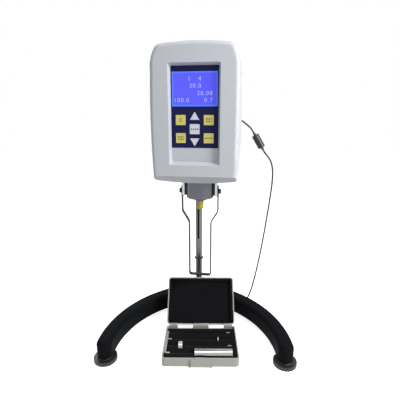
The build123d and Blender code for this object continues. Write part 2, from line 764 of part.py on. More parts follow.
def square_face(size):
    """Outline of a square key."""
    return RectangleRounded(size, size, 0.8)


def arrow_face(grow):
    """Outline of the upward arrow key about the middle key's centre."""
    half = ARROW_W / 2
    points = [(-half, ARROW_BASE), (half, ARROW_BASE), (0, ARROW_BASE + ARROW_H)]
    face = make_face(Polyline(points, close=True))
    if grow:
        return offset(face, grow, kind=Kind.INTERSECTION)
    return face


def on_panel(sketch, depth, thickness, dx=0.0, dz=0.0):
    """Carry a sketch drawn in the front view back from a depth."""
    solid = extrude(sketch, -thickness)
    return Pos(HEAD_X + dx, depth, KEY_CENTRE_Z + dz) * Rot(90, 0, 0) * solid


def key_solid(face, flange, dx=0.0, dz=0.0):
    """One key: its cap through the panel and a flange behind it."""
    front = panel_front() - KEY_PROUD
    back = panel_front() + PANEL_T + LOOSE_GAP
    cap = on_panel(face, front, back - front + 0.5, dx, dz)
    plate = on_panel(flange, back, 1.2, dx, dz)
    return cap + plate


def square_key(dx, dz):
    """A square key at a place about the middle key."""
    return key_solid(square_face(KEY_SIZE), square_face(KEY_SIZE + 2 * KEY_LIP), dx, dz)


def arrow_key(direction):
    """A triangular key above or below the middle key."""
    face, flange = arrow_face(0), arrow_face(KEY_LIP * 0.6)
    if direction < 0:
        face, flange = mirror(face, Plane.XZ), mirror(flange, Plane.XZ)
    return key_solid(face, flange)


def keypad_panel():
    """Dark panel with the display window and the holes of seven keys."""
    half = PANEL_W / 2
    body = block((HEAD_X - half, HEAD_X + half), (panel_front(), panel_front() + PANEL_T),
                 (PANEL_BOTTOM, PANEL_TOP))
    depth = panel_front() - 1
    for _, dx, dz in square_key_places():
        body -= on_panel(square_face(KEY_SIZE + 2 * KEY_GAP), depth, PANEL_T + 2, dx, dz)
    for _, direction in arrow_places():
        hole = arrow_face(KEY_GAP)
        if direction < 0:
            hole = mirror(hole, Plane.XZ)
        body -= on_panel(hole, depth, PANEL_T + 2)
    return body - display_block(panel_front() - 1, panel_front() + LCD_T)


def display_block(front, back):
    """Block of the display's outline between two depths."""
    return block((HEAD_X - LCD_W / 2, HEAD_X + LCD_W / 2), (front, back), (LCD_TOP - LCD_H, LCD_TOP))


def display():
    """Display window seated in the panel."""
    return display_block(panel_front() + 0.3, panel_front() + LCD_T)


def board_front():
    """Depth of the main board's face, just behind the pressed keys."""
    return panel_front() + PANEL_T + LOOSE_GAP + 1.2 + KEY_TRAVEL + LOOSE_GAP


def main_board():
    """Circuit board behind the panel with its spacers, chips and connector."""
    half = PANEL_W / 2 + BOARD_MARGIN
    low, high = PANEL_BOTTOM - BOARD_MARGIN, PANEL_TOP + BOARD_MARGIN / 2
    front = board_front()
    body = block((HEAD_X - half, HEAD_X + half), (front, front + BOARD_T), (low, high))
    for side in (-1, 1):
        for z in (low + BOARD_MARGIN / 2, high - BOARD_MARGIN / 2):
            x = HEAD_X + side * (half - BOARD_MARGIN / 2)
            body += rod_y(BOARD_MARGIN / 2 - 0.4, HEAD_FRONT + RECESS_DEPTH + HEAD_WALL, front, x, z)
    for dx, z, width, height, depth in BOARD_PARTS:
        body += block((HEAD_X + dx - width / 2, HEAD_X + dx + width / 2),
                      (front + BOARD_T, front + BOARD_T + depth), (z - height / 2, z + height / 2))
    return body


# --------------------------------------------------------- frame inside the head
def rod_sp(radius, start, end):
    """A vertical cylinder on the spindle axis."""
    return rod(radius, start, end, SPINDLE_X, SPINDLE_Y)


def chassis():
    """Folded plate: a floor over the cup and an upright behind the mechanism."""
    floor = block((HEAD_X - FLOOR_HALF, HEAD_X + FLOOR_HALF), (HEAD_SPLIT - 30, chassis_back()),
                  (CHASSIS_Z, CHASSIS_Z + CHASSIS_T))
    upright = block((ROD_X - UPRIGHT_HALF, ROD_X + UPRIGHT_HALF), (chassis_back() - CHASSIS_T, chassis_back()),
                    (CHASSIS_Z, ROD_Z + 24))
    body = floor + upright
    body -= rod_sp(BEARING_D / 2 + 2, CHASSIS_Z - 1, CHASSIS_Z + CHASSIS_T + 1)
    body -= rod_y(ROD_D / 2 + SLIDE_GAP, chassis_back() - 10, chassis_back() + 1, ROD_X, ROD_Z)
    return body


def chassis_back():
    """Depth of the back of the chassis upright, just inside the rear wall."""
    return HEAD_BACK - HEAD_WALL - 1.0


def head_rod():
    """Rod with a flange that carries the head in the lift clamp."""
    body = rod_y(ROD_D / 2, chassis_back() - CHASSIS_T, ROD_END, ROD_X, ROD_Z)
    body = chamfer(body.faces().sort_by(Axis.Y)[-1].edges(), 1.2)
    flange = rod_y(ROD_FLANGE_D / 2, HEAD_BACK + 0.1, HEAD_BACK + ROD_FLANGE_H, ROD_X, ROD_Z)
    flange = chamfer(flange.faces().sort_by(Axis.Y)[-1].edges(), 1)
    spacer = rod_y(ROD_D / 2 + 2, chassis_back(), HEAD_BACK - HEAD_WALL, ROD_X, ROD_Z)
    return body + flange + spacer


def motor_frame():
    """Plate that carries the motor, on pillars from the chassis floor."""
    reach = PILLAR_REACH
    body = block((SPINDLE_X - reach - 5, SPINDLE_X + reach + 5), (SPINDLE_Y - 20, SPINDLE_Y + 24),
                 (MOTOR_PLATE_Z, MOTOR_PLATE_Z + MOTOR_PLATE_T))
    body -= rod_sp(MOTOR_SHAFT_D / 2 + 3, MOTOR_PLATE_Z - 1, MOTOR_PLATE_Z + MOTOR_PLATE_T + 1)
    for side in (-1, 1):
        body += rod(PILLAR_D / 2, CHASSIS_Z + CHASSIS_T, MOTOR_PLATE_Z, SPINDLE_X + side * reach, SPINDLE_Y + 18)
        body += rod(PILLAR_D / 2, CHASSIS_Z + CHASSIS_T, MOTOR_PLATE_Z, SPINDLE_X + side * reach, SPINDLE_Y - 12)
    return body


def motor():
    """Square stepper motor with chamfered corners and a pilot ring."""
    bottom = MOTOR_PLATE_Z + MOTOR_PLATE_T
    half = MOTOR_SIZE / 2
    body = block((SPINDLE_X - half, SPINDLE_X + half), (SPINDLE_Y - half, SPINDLE_Y + half),
                 (bottom, bottom + MOTOR_H))
    body = chamfer(body.edges().filter_by(Axis.Z), 4)
    bore = MOTOR_SHAFT_D / 2 + RUN_GAP
    return body - rod_sp(bore, bottom - 1, bottom + MOTOR_H / 2 + 0.5)


def drive_disc():
    """Slotted disc on the motor shaft, with the socket the measuring shaft hangs in."""
    body = rod_sp(DRIVE_DISC_D / 2, DRIVE_DISC_Z, DRIVE_DISC_Z + DISC_T)
    body += rod_sp(MOTOR_SHAFT_D / 2, DRIVE_DISC_Z, MOTOR_PLATE_Z + MOTOR_PLATE_T + MOTOR_H / 2)
    body += rod_sp(7, DRIVE_DISC_Z - 8, DRIVE_DISC_Z)
    body -= rod_sp(SHAFT_D / 2 + RUN_GAP, DRIVE_DISC_Z - 9, SHAFT_TOP + LOOSE_GAP)
    for place in PolarLocations(DRIVE_DISC_D / 2, DRIVE_SLOTS):
        body -= Pos(SPINDLE_X, SPINDLE_Y, DRIVE_DISC_Z) * place * Box(6, 3, 3 * DISC_T)
    post_x = SPINDLE_X + spring_outer() + SPRING_STRIP[0] / 2 + SPRING_POST_R + 2 * RUN_GAP
    return body + rod(SPRING_POST_R, SPRING_Z - SPRING_STRIP[1] / 2, DRIVE_DISC_Z, post_x, SPINDLE_Y)


def spring_outer():
    """Outer radius of the hairspring's last turn."""
    return SPRING_INNER_R + SPRING_PITCH * SPRING_TURNS


def hairspring():
    """Flat spiral spring on a collet, wound from half circles about two centres."""
    thick, high = SPRING_STRIP
    halves = []
    start = (SPRING_INNER_R, 0)
    for index in range(2 * SPRING_TURNS):
        radius = SPRING_INNER_R + index * SPRING_PITCH / 2
        side = 1 if index % 2 == 0 else -1
        centre = 0 if side > 0 else SPRING_PITCH / 2
        end = (centre - side * radius, 0)
        halves.append(ThreePointArc(start, (centre, side * radius), end))
        start = end
    strip = sweep(Pos(SPRING_INNER_R, 0, 0) * Rot(90, 0, 0) * Rectangle(thick, high), path=Wire(halves))
    collet = Cylinder(SPRING_INNER_R + thick / 2, high) - Cylinder(SHAFT_D / 2, high + 1)
    return Pos(SPINDLE_X, SPINDLE_Y, SPRING_Z) * (strip + collet)


def measuring_shaft():
    """Shaft with the measuring disc above and the coupling for the spindles below."""
    body = rod_sp(SHAFT_D / 2, COUPLING_TOP - 1, SHAFT_TOP)
    body += rod_sp(MEASURING_DISC_D / 2, MEASURING_DISC_Z, MEASURING_DISC_Z + DISC_T)
    body += rod_sp(SHAFT_D / 2 + 3, MEASURING_DISC_Z - 4, MEASURING_DISC_Z)
    body += rod_sp(COUPLING_D / 2, COUPLING_BOTTOM, COUPLING_TOP)
    body -= rod_sp(COUPLING_BORE / 2, COUPLING_BOTTOM - 1, COUPLING_BOTTOM + COUPLING_BORE_DEPTH)
    return body


def bearings():
    """Two guide bearings of the measuring shaft, in the cup and in the chassis."""
    rings = []
    for bottom in (BEARING_Z, CHASSIS_Z - BEARING_H):
        ring = rod_sp(BEARING_D / 2, bottom, bottom + BEARING_H)
        rings.append(ring - rod_sp(SHAFT_D / 2 + RUN_GAP, bottom - 1, bottom + BEARING_H + 1))
    return Compound(children=rings)


def cup():
    """Turned cup under the head that guards the pivot, with its neck."""
    body = rod_sp(CUP_D / 2, CUP_BOTTOM, CHASSIS_Z)
    body = fillet(body.faces().sort_by(Axis.Z)[0].edges(), 3)
    body += rod_sp(CUP_NECK_D / 2, CUP_BOTTOM - CUP_NECK_H, CUP_BOTTOM)
    web = BEARING_Z + BEARING_H
    body -= rod_sp(CUP_D / 2 - CUP_WALL, web + CUP_WALL, CHASSIS_Z - BEARING_H - CUP_WALL)
    body -= rod_sp(BEARING_D / 2, BEARING_Z, web)
    body -= rod_sp(BEARING_D / 2, CHASSIS_Z - BEARING_H, CHASSIS_Z + 1)
    return body - rod_sp(SHAFT_D / 2 + 0.6, CUP_BOTTOM - CUP_NECK_H - 1, CHASSIS_Z + 1)


def transit_cap():
    """Soft cap pushed over the coupling while no spindle is fitted."""
    body = rod_sp(TRANSIT_CAP_D / 2, TRANSIT_CAP_BOTTOM, TRANSIT_CAP_TOP)
    body = fillet(body.faces().sort_by(Axis.Z)[0].edges(), TRANSIT_CAP_D / 4)
    return body - rod_sp(COUPLING_D / 2 + SLIDE_GAP, COUPLING_BOTTOM - 0.3, TRANSIT_CAP_TOP + 1)


# ------------------------------------------------------------------- the guard
def guard_lugs():
    """Two plated lugs under the chassis that hold the guard's ears."""
    lugs = []
    for side in (-1, 1):
        inner = SPINDLE_X + side * (GUARD_HALF - GUARD_T - LUG_T)
        outer = SPINDLE_X + side * (GUARD_HALF - GUARD_T)
        lug = block(sorted((inner, outer)), (SPINDLE_Y - LUG_DEPTH / 2, SPINDLE_Y + LUG_DEPTH / 2),
                    (LUG_BOTTOM, CHASSIS_Z))
        lug = fillet(lug.edges().filter_by(Axis.X).group_by(Axis.Z)[0], 4)
        lugs.append(lug - guard_screw_hole(side))
    return Compound(children=lugs)


def guard_screw_hole(side):
    """Bore for a guard screw through an ear and its lug."""
    inner = SPINDLE_X + side * (GUARD_HALF - GUARD_T - LUG_T - 1)
    outer = SPINDLE_X + side * (GUARD_HALF + 1)
    return rod_x(GUARD_SCREW_D / 2 + RUN_GAP, *sorted((inner, outer)), SPINDLE_Y, GUARD_SCREW_Z)


def guard_line(side_inset):
    """Half of the guard's outline in front view, from the ear down to the middle."""
    wide = GUARD_HALF - side_inset
    narrow = GUARD_NARROW_HALF - side_inset
    bottom = GUARD_BOTTOM + side_inset
    return [(wide, GUARD_TOP), (wide, GUARD_BEND_Z), (narrow, GUARD_NARROW_Z), (narrow, bottom)]


def guard_frame():
    """Bent strip round the spindle, open to the front and back."""
    path = guard_line(GUARD_T / 2)
    left = [(-x, z) for x, z in reversed(path)]
    radii = [12, 12, GUARD_CORNER_R, GUARD_CORNER_R, 12, 12]
    points = [(x, 0, z) for x, z in path + left]
    wire = FilletPolyline(*points, radius=radii)
    start = Plane(origin=points[0], x_dir=(1, 0, 0), z_dir=(0, 0, -1))
    body = sweep(start * Rectangle(GUARD_T, GUARD_DEPTH), path=wire)
    body = Pos(SPINDLE_X, SPINDLE_Y, 0) * body
    for side in (-1, 1):
        inner = SPINDLE_X + side * (GUARD_HALF - GUARD_T)
        outer = SPINDLE_X + side * GUARD_HALF
        ear = block(sorted((inner, outer)), (SPINDLE_Y - GUARD_EAR_DEPTH / 2, SPINDLE_Y + GUARD_EAR_DEPTH / 2),
                    (LUG_BOTTOM - 2, GUARD_TOP))
        ear = fillet(ear.edges().filter_by(Axis.X), 3.5)
        body = body + ear - guard_screw_hole(side)
    return body


def guard_screw(side):
    """Knurled screw that holds one ear of the guard."""
    head = knurled(GUARD_SCREW_HEAD_D / 2, GUARD_SCREW_HEAD_H, 14, 0.7)
    shank = Pos(0, 0, -(GUARD_T + LUG_T) / 2) * Cylinder(GUARD_SCREW_D / 2, GUARD_T + LUG_T)
    seat = SPINDLE_X + side * GUARD_HALF
    return Pos(seat, SPINDLE_Y, GUARD_SCREW_Z) * Rot(0, 90 * side, 0) * (head + shank)


# --------------------------------------------------------------- rear fittings
def rocker_switch():
    """Rocker of the mains switch, tipped to its off side."""
    gap = LOOSE_GAP
    profile = make_face(Polyline([
        (HEAD_BACK - 7, SWITCH_Z - 5.5), (HEAD_BACK - 7, SWITCH_Z + 5.5),
        (HEAD_BACK - 0.6, SWITCH_Z + ROCKER_HALF), (HEAD_BACK + 0.4, SWITCH_Z),
        (HEAD_BACK + 2.6, SWITCH_Z - ROCKER_HALF)], close=True))
    profile = Plane.YZ * profile
    half = SWITCH_W / 2 - 1.6 - gap
    return Pos(SWITCH_X, 0, 0) * extrude(profile, half, both=True)


def switch_frame():
    """Bezel and box of the mains switch."""
    bezel = block((SWITCH_X - SWITCH_W / 2 - 1.5, SWITCH_X + SWITCH_W / 2 + 1.5), (HEAD_BACK, HEAD_BACK + 1.2),
                  (SWITCH_Z - SWITCH_H / 2 - 1.5, SWITCH_Z + SWITCH_H / 2 + 1.5))
    box = block((SWITCH_X - SWITCH_W / 2, SWITCH_X + SWITCH_W / 2), (HEAD_BACK - 13, HEAD_BACK),
                (SWITCH_Z - SWITCH_H / 2, SWITCH_Z + SWITCH_H / 2))
    well = block((SWITCH_X - SWITCH_W / 2 + 1.6, SWITCH_X + SWITCH_W / 2 - 1.6), (HEAD_BACK - 10, HEAD_BACK + 2),
                 (SWITCH_Z - SWITCH_H / 2 + 1, SWITCH_Z + SWITCH_H / 2 - 1))
    return bezel + box - well


def power_socket():
    """Round socket for the low-voltage plug."""
    body = rod_y(SOCKET_D / 2, HEAD_BACK - 12, HEAD_BACK, SOCKET_X, SOCKET_Z)
    body += rod_y(SOCKET_D / 2 + 1.5, HEAD_BACK, HEAD_BACK + 1, SOCKET_X, SOCKET_Z)
    body -= rod_y(2.75, HEAD_BACK - 10, HEAD_BACK + 2, SOCKET_X, SOCKET_Z)
    return body


# -------------------------------------------------------- the case of spindles
def turned_case(shape):
    """The case stands turned to the column, in front of it."""
    return Rot(0, 0, CASE_TURN) * shape


def hinge_line():
    """Depth and height of the lid's hinge axis."""
    return CASE_BACK + 1.5, CASE_H


def opened(shape):
    """Swing a piece of the closed lid to its open place."""
    y, z = hinge_line()
    return Pos(0, y, z) * Rot(-LID_OPEN, 0, 0) * Pos(0, -y, -z) * shape


def case_block(inset, bottom, top):
    """Block of the case's rounded plan, drawn in by an inset."""
    half = CASE_W / 2 - inset
    return rounded_block((CASE_X - half, CASE_X + half), (CASE_FRONT + inset, CASE_BACK - inset),
                         (bottom, top), max(CASE_CORNER_R - inset, 1.5))


def hinge_windows():
    """The two gaps along the hinge, through tray and lid."""
    cut = None
    for side in (-1, 1):
        limits = sorted((CASE_X + side * WINDOW_INNER, CASE_X + side * WINDOW_OUTER))
        piece = block(limits, (CASE_BACK - 3 * CASE_WALL, CASE_BACK + 8), (CASE_H - WINDOW_H, CASE_H + WINDOW_H))
        cut = piece if cut is None else cut + piece
    return cut


def knuckles(owner):
    """Lengths of the hinge's barrels along X for the tray or the lid."""
    gap = 0.15
    near, middle, far = WINDOW_OUTER + 1, WINDOW_OUTER + 8.5, WINDOW_OUTER + 16
    if owner == "tray":
        spans = [(-WINDOW_INNER + 1, -gap), (near, middle - gap), (-middle + gap, -near)]
    else:
        spans = [(gap, WINDOW_INNER - 1), (middle + gap, far), (-far, -middle - gap)]
    return [(CASE_X + low, CASE_X + high) for low, high in spans]


def hinge_pin_spans():
    """Lengths of the three hinge pins along X."""
    near, far = WINDOW_OUTER + 1.5, WINDOW_OUTER + 15.5
    inner = WINDOW_INNER - 1.5
    return [(CASE_X - far, CASE_X - near), (CASE_X - inner, CASE_X + inner), (CASE_X + near, CASE_X + far)]


def barrels(owner, radius):
    """Hinge barrels of the tray or the lid as one shape."""
    y, z = hinge_line()
    shape = None
    for low, high in knuckles(owner):
        piece = rod_x(radius, low, high, y, z)
        shape = piece if shape is None else shape + piece
    return shape


def pin_bores():
    """Bores along the hinge axis through all barrels."""
    y, z = hinge_line()
    shape = None
    for low, high in hinge_pin_spans():
        piece = rod_x(HINGE_PIN_D / 2, low, high, y, z)
        shape = piece if shape is None else shape + piece
    return shape


def lid_bores():
    """Slightly larger bores in the lid's barrels, so that it turns on the pins."""
    y, z = hinge_line()
    shape = None
    for low, high in knuckles("lid"):
        piece = rod_x(HINGE_PIN_D / 2 + RUN_GAP, low - 1, high + 1, y, z)
        shape = piece if shape is None else shape + piece
    return shape


def case_tray():
    """Lower half of the case with its hinge barrels and the ears of the latch."""
    body = case_block(0, 0, CASE_H)
    body = chamfer(body.faces().sort_by(Axis.Z)[0].edges(), 1)
    body -= case_block(CASE_WALL, CASE_FLOOR, CASE_H + 1)
    body -= barrels("lid", HINGE_R + LOOSE_GAP)
    y, z = hinge_line()
    lower = block((CASE_X - CASE_W, CASE_X + CASE_W), (CASE_BACK - 1, y + HINGE_R), (0, z + HINGE_R))
    body += barrels("tray", HINGE_R) & lower
    for low, high in knuckles("tray"):
        body += block((low, high), (CASE_BACK - 1, y), (z - 2 * HINGE_R, z))
    body -= hinge_windows()
    body -= pin_bores()
    for low, high in latch_ears():
        body += block((low, high), (latch_axis()[0] - 1.4, CASE_FRONT + 1), (0.4, 3.6))
    return body - latch_bores()


def latch_axis():
    """Depth and height of the latch's axis, low on the front of the tray."""
    return CASE_FRONT - 1.5, 2.0


def latch_ears():
    """Spans of the two ears that hold the latch."""
    half = LATCH_W / 2
    return [(CASE_X - half - 3.3, CASE_X - half - 0.3), (CASE_X + half + 0.3, CASE_X + half + 3.3)]


def latch_bores():
    """Bores of the latch's ears."""
    y, z = latch_axis()
    low, high = latch_ears()[0][0] + 0.8, latch_ears()[1][1] - 0.8
    return rod_x(0.85, low, high, y, z) & block((low, high), (y - 2, y + 1.5), (0, 4))


def case_latch():
    """Front latch of the case with its tongue above the rim."""
    y, z = latch_axis()
    half = LATCH_W / 2
    front, back = CASE_FRONT - 0.25 - LATCH_T, CASE_FRONT - 0.25
    body = block((CASE_X - half, CASE_X + half), (front, back), (z, CASE_H - 0.3))
    tongue = LATCH_TONGUE_W / 2
    body += block((CASE_X - tongue, CASE_X + tongue), (front + 0.6, back), (CASE_H - 1, CASE_H + 2.4))
    body += rod_x(1.2, CASE_X - half, CASE_X + half, y, z)
    ends = latch_ears()
    return body + rod_x(0.8, ends[0][0] + 1, ends[1][1] - 1, y, z)


def spindle_parts(index):
    """Solids along X of one spindle: body, stem and collar, as (radius, start, end)."""
    left, right = CASE_X - 61 + 1, CASE_X - 61 + 1 + SPINDLE_LENGTH
    stem = SPINDLE_STEM_D / 2
    collar = (3.0, 7.0)
    if index == 0:
        d, length = SPINDLE_1
        return [(stem, left, right), (d / 2, right - length, right), (collar[0], left, left + collar[1])]
    if index == 1:
        d, length = SPINDLE_2
        start = left + 20.8
        return [(stem, left, right), (d / 2, start, start + length), (collar[0], right - collar[1], right)]
    if index == 2:
        d, length = SPINDLE_3
        end = right - 22.3
        return [(stem, left, right), (d / 2, end - length, end), (collar[0], left, left + collar[1])]
    d, length = SPINDLE_4
    return [(d / 2, left, left + length), (stem * 0.8, left + length, right),
            (collar[0], right - collar[1], right)]


def spindle(index):
    """One of the four measuring spindles lying in its row."""
    y = SPINDLE_ROW_Y[index]
    shape = None
    for radius, start, end in spindle_parts(index):
        piece = rod_x(radius, start, end, y, SPINDLE_ROW_Z)
        shape = piece if shape is None else shape + piece
    return shape


def case_foam():
    """Foam insert with a groove to the shape of each spindle."""
    body = case_block(CASE_WALL, CASE_FLOOR, FOAM_TOP)
    inner = CASE_X - CASE_W / 2
    body -= block((inner, inner + CASE_WALL + FOAM_SIDE_GAP), (SIDE_GAP_FRONT, SIDE_GAP_BACK),
                  (CASE_FLOOR - 1, FOAM_TOP + 1))
    body -= block((CASE_X - CASE_W, CASE_X + CASE_W), (CASE_BACK - 3.4 * CASE_WALL, CASE_BACK + 1),
                  (CASE_H - WINDOW_H, CASE_H))
    for index, y in enumerate(SPINDLE_ROW_Y):
        for radius, start, end in spindle_parts(index):
            wide = radius + FOAM_GAP
            low, high = start - FOAM_GAP, end + FOAM_GAP
            body -= rod_x(wide, low, high, y, SPINDLE_ROW_Z)
            body -= block((low, high), (y - wide, y + wide), (SPINDLE_ROW_Z, FOAM_TOP + 1))
    return body


def closed_lid():
    """Lid of the case in its closed place."""
    top = CASE_H + LID_H
    body = case_block(0, CASE_H, top)
    body = fillet(body.faces().sort_by(Axis.Z)[-1].edges(), 2)
    body -= case_block(LID_WALL, CASE_H - 1, top - LID_WALL)
    body -= barrels("tray", HINGE_R + LOOSE_GAP)
    y, z = hinge_line()
    for low, high in knuckles("lid"):
        body += rod_x(HINGE_R, low, high, y, z)
        body += block((low, high), (CASE_BACK - 1, y), (z, z + 2 * HINGE_R))
    body -= hinge_windows()
    return body - lid_bores()


def closed_lid_foam():
    """Foam lining of the lid, hollowed over the spindles."""
    bottom, top = CASE_H + 0.5, CASE_H + LID_H - LID_WALL
    body = case_block(LID_WALL, bottom, top)
    body -= case_block(LID_WALL + 5, bottom - 1, top - LID_FOAM_T)
    y, _ = hinge_line()
    body -= block((CASE_X - CASE_W, CASE_X + CASE_W), (CASE_BACK - 3.2 * CASE_WALL, y + 5),
                  (CASE_H - 1, CASE_H + WINDOW_H + 1))
    return body


# -------------------------------------------------------------------- the lead
UPPER_ROUTE = [(68, -24, 412), (68, -14, 412), (71.5, -3.5, 410.3), (80, 3.2, 406), (90.5, 6, 399.8),
               (99.5, 6, 392.5), (106.2, 6, 386.6), (111.6, 6, 377.6)]
LOWER_ROUTE = [(131, 6, 345.3), (136, 6, 337), (142.5, 8, 330), (149, 10, 320), (153.5, 12, 303),
               (154, 14, 278), (151, 16, 240), (146, 18, 192), (140, 20, 140), (133, 21, 90), (126, 21, 50),
               (119.5, 18, 22), (113.5, 12, 7), (107, 1, 1.65), (98, -12, 1.65), (88, -24, 1.65),
               (77.5, -33.5, 1.65), (68.5, -40.5, 1.65), (61.9, -48.5, 1.65), (58.6, -59, 1.65)]
COIL_PLACE = (34.0, -66.0)
COIL_BORE_D = 29.0
COIL_TAIL_Z = 5.0
ADAPTER_PLACE = (-23.0, -81.0)


def cord_radii(points):
    """Bend radius at each corner of a route: as large as its two runs allow."""
    vectors = [Vector(*b) - Vector(*a) for a, b in zip(points, points[1:])]
    radii = []
    for first, second in zip(vectors, vectors[1:]):
        turn = math.radians(first.get_angle(second))
        run = min(first.length, second.length)
        radii.append(0.45 * run / math.tan(turn / 2))
    return radii


def cord_tube(points):
    """Tube of the cord along a route of straight runs and tangent arcs."""
    radii = cord_radii(points)
    print("cord radii", [round(r, 1) for r in radii])
    path = FilletPolyline(*points, radius=radii)
    print("cord length", round(path.length, 1))
    start = Plane(origin=points[0], z_dir=Vector(*points[1]) - Vector(*points[0]))
    return sweep(start * Circle(CORD_D / 2), path=path)


def plug():
    """Low-voltage plug with its tapered strain relief, at the rear socket."""
    seat = HEAD_BACK + 1.2
    body = rod_y(PLUG_D / 2, seat, seat + PLUG_LENGTH, SOCKET_X, SOCKET_Z)
    body = fillet(body.edges().filter_by(GeomType.CIRCLE), 0.8)
    tip = rod_y(2.7, HEAD_BACK - 8, seat + 1, SOCKET_X, SOCKET_Z)
    end = UPPER_ROUTE[0][1]
    start = seat + PLUG_LENGTH
    relief = Pos(SOCKET_X, start, SOCKET_Z) * Rot(-90, 0, 0) * Cone(
        PLUG_D / 2 - 0.6, CORD_D / 2 + 0.5, end - start, align=(Align.CENTER, Align.CENTER, Align.MIN))
    return body + tip + relief


def ferrite():
    """Moulded ferrite choke round the cord with a short sleeve at each end."""
    start, end = Vector(*UPPER_ROUTE[-1]), Vector(*LOWER_ROUTE[0])
    axis = Plane(origin=start, z_dir=end - start)
    total = (end - start).length
    inset = (total - FERRITE_LENGTH) / 2
    body = Pos(0, 0, inset) * Cylinder(FERRITE_D / 2, FERRITE_LENGTH, align=(Align.CENTER, Align.CENTER, Align.MIN))
    body = fillet(body.edges().filter_by(GeomType.CIRCLE), 2)
    sleeve = Cylinder(CORD_D / 2 + 1, total, align=(Align.CENTER, Align.CENTER, Align.MIN))
    return axis * (body + sleeve)


def cord_coil():
    """Outer shape of the coiled lead, with the ends that enter and leave it."""
    x, y = COIL_PLACE
    body = rod(COIL_D / 2, 0, COIL_H, x, y) - rod(COIL_BORE_D / 2, -1, COIL_H + 1, x, y)
    turn_r = COIL_D / 2 - CORD_D / 2
    tail_end = ADAPTER_PLACE[0] + ADAPTER[0] / 2 + PLUG_RELIEF
    tail = rod_x(CORD_D / 2, tail_end, x, y - turn_r, COIL_TAIL_Z)
    entry = Vector(*LOWER_ROUTE[-1])
    heading = (entry - Vector(*LOWER_ROUTE[-2])).normalized()
    inlet = Plane(origin=entry, z_dir=heading) * Cylinder(
        CORD_D / 2, COIL_INLET, align=(Align.CENTER, Align.CENTER, Align.MIN))
    return body + tail + inlet


def adapter():
    """Plug-in power adapter with two flat pins and a strain relief."""
    length, depth, height = ADAPTER
    x, y = ADAPTER_PLACE
    body = rounded_block((x - length / 2, x + length / 2), (y - depth / 2, y + depth / 2), (0, height), 5)
    body = fillet(body.faces().sort_by(Axis.Z)[-1].edges(), 2.5)
    thick, wide, high = ADAPTER_PIN
    for side in (-1, 1):
        pin_x = x + side * ADAPTER_PIN_SPACING / 2
        body += block((pin_x - thick / 2, pin_x + thick / 2), (y - wide / 2, y + wide / 2),
                      (height - 1, height + high))
    relief_y = COIL_PLACE[1] - COIL_D / 2 + CORD_D / 2
    relief = Pos(x + length / 2 - 1, relief_y, COIL_TAIL_Z) * Rot(0, 90, 0) * Cone(
        3.6, CORD_D / 2 + 0.4, PLUG_RELIEF + 1, align=(Align.CENTER, Align.CENTER, Align.MIN))
    return body + relief


# ------------------------------------------------------------------- all nodes
def write_parts():
    """Write every node of the viscometer."""
    os.makedirs("parts", exist_ok=True)
    save("base_casting", base_casting())
    for name, (x, y) in zip(("foot_left", "foot_right", "foot_rear"), foot_places()):
        save(name, foot(x, y))
    save("column", column())
    save("column_rack", column_rack())
    save("column_nut", column_nut())
    save("stop_ring", stop_ring())
    save("column_cap", column_cap())
    save("lift_clamp", lift_clamp())
    save("pinion_shaft", pinion_shaft())
    save("lift_knob", lift_knob())
    save("tension_screw", tension_screw())
    save("head_clamp_screw", head_clamp_screw())
    save("head_rod", head_rod())
    save("front_shell", front_shell())
    save("rear_shell", rear_shell())
    save("housing_screws", housing_screws())
    bezel, glass = spirit_level()
    save("spirit_level", Compound(children=[bezel, glass]))
    save("chassis", chassis() + motor_frame())
    save("motor", motor())
    save("main_board", main_board())
    save("keypad_panel", keypad_panel())
    save("display", display())
    for name, dx, dz in square_key_places():
        save(name, square_key(dx, dz))
    for name, direction in arrow_places():
        save(name, arrow_key(direction))
    save("drive_disc", drive_disc())
    save("hairspring", hairspring())
    save("measuring_shaft", measuring_shaft())
    save("bearings", bearings())
    save("cup", cup())
    save("transit_cap", transit_cap())
    save("guard_lugs", guard_lugs())
    save("guard_frame", guard_frame())
    save("guard_screw_left", guard_screw(-1))
    save("guard_screw_right", guard_screw(1))
    save("rocker_switch", rocker_switch())
    save("switch_frame", switch_frame())
    save("power_socket", power_socket())
    save("case_tray", turned_case(case_tray()))
    save("case_foam", turned_case(case_foam()))
    save("case_lid", turned_case(opened(closed_lid())))
    save("lid_foam", turned_case(opened(closed_lid_foam())))
    save("case_latch", turned_case(case_latch()))
    save("hinge_pins", turned_case(pin_bores()))
    for index in range(4):
        save(f"spindle_{index + 1}", turned_case(spindle(index)))
    save("lead_plug", plug())
    save("lead_upper", cord_tube(UPPER_ROUTE))
    save("ferrite", ferrite())
    save("lead_lower", cord_tube(LOWER_ROUTE))
    save("lead_coil", cord_coil())
    save("power_adapter", adapter())


write_parts()
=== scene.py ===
"""Rotational viscometer on a rack column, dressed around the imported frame."""
import json
import math

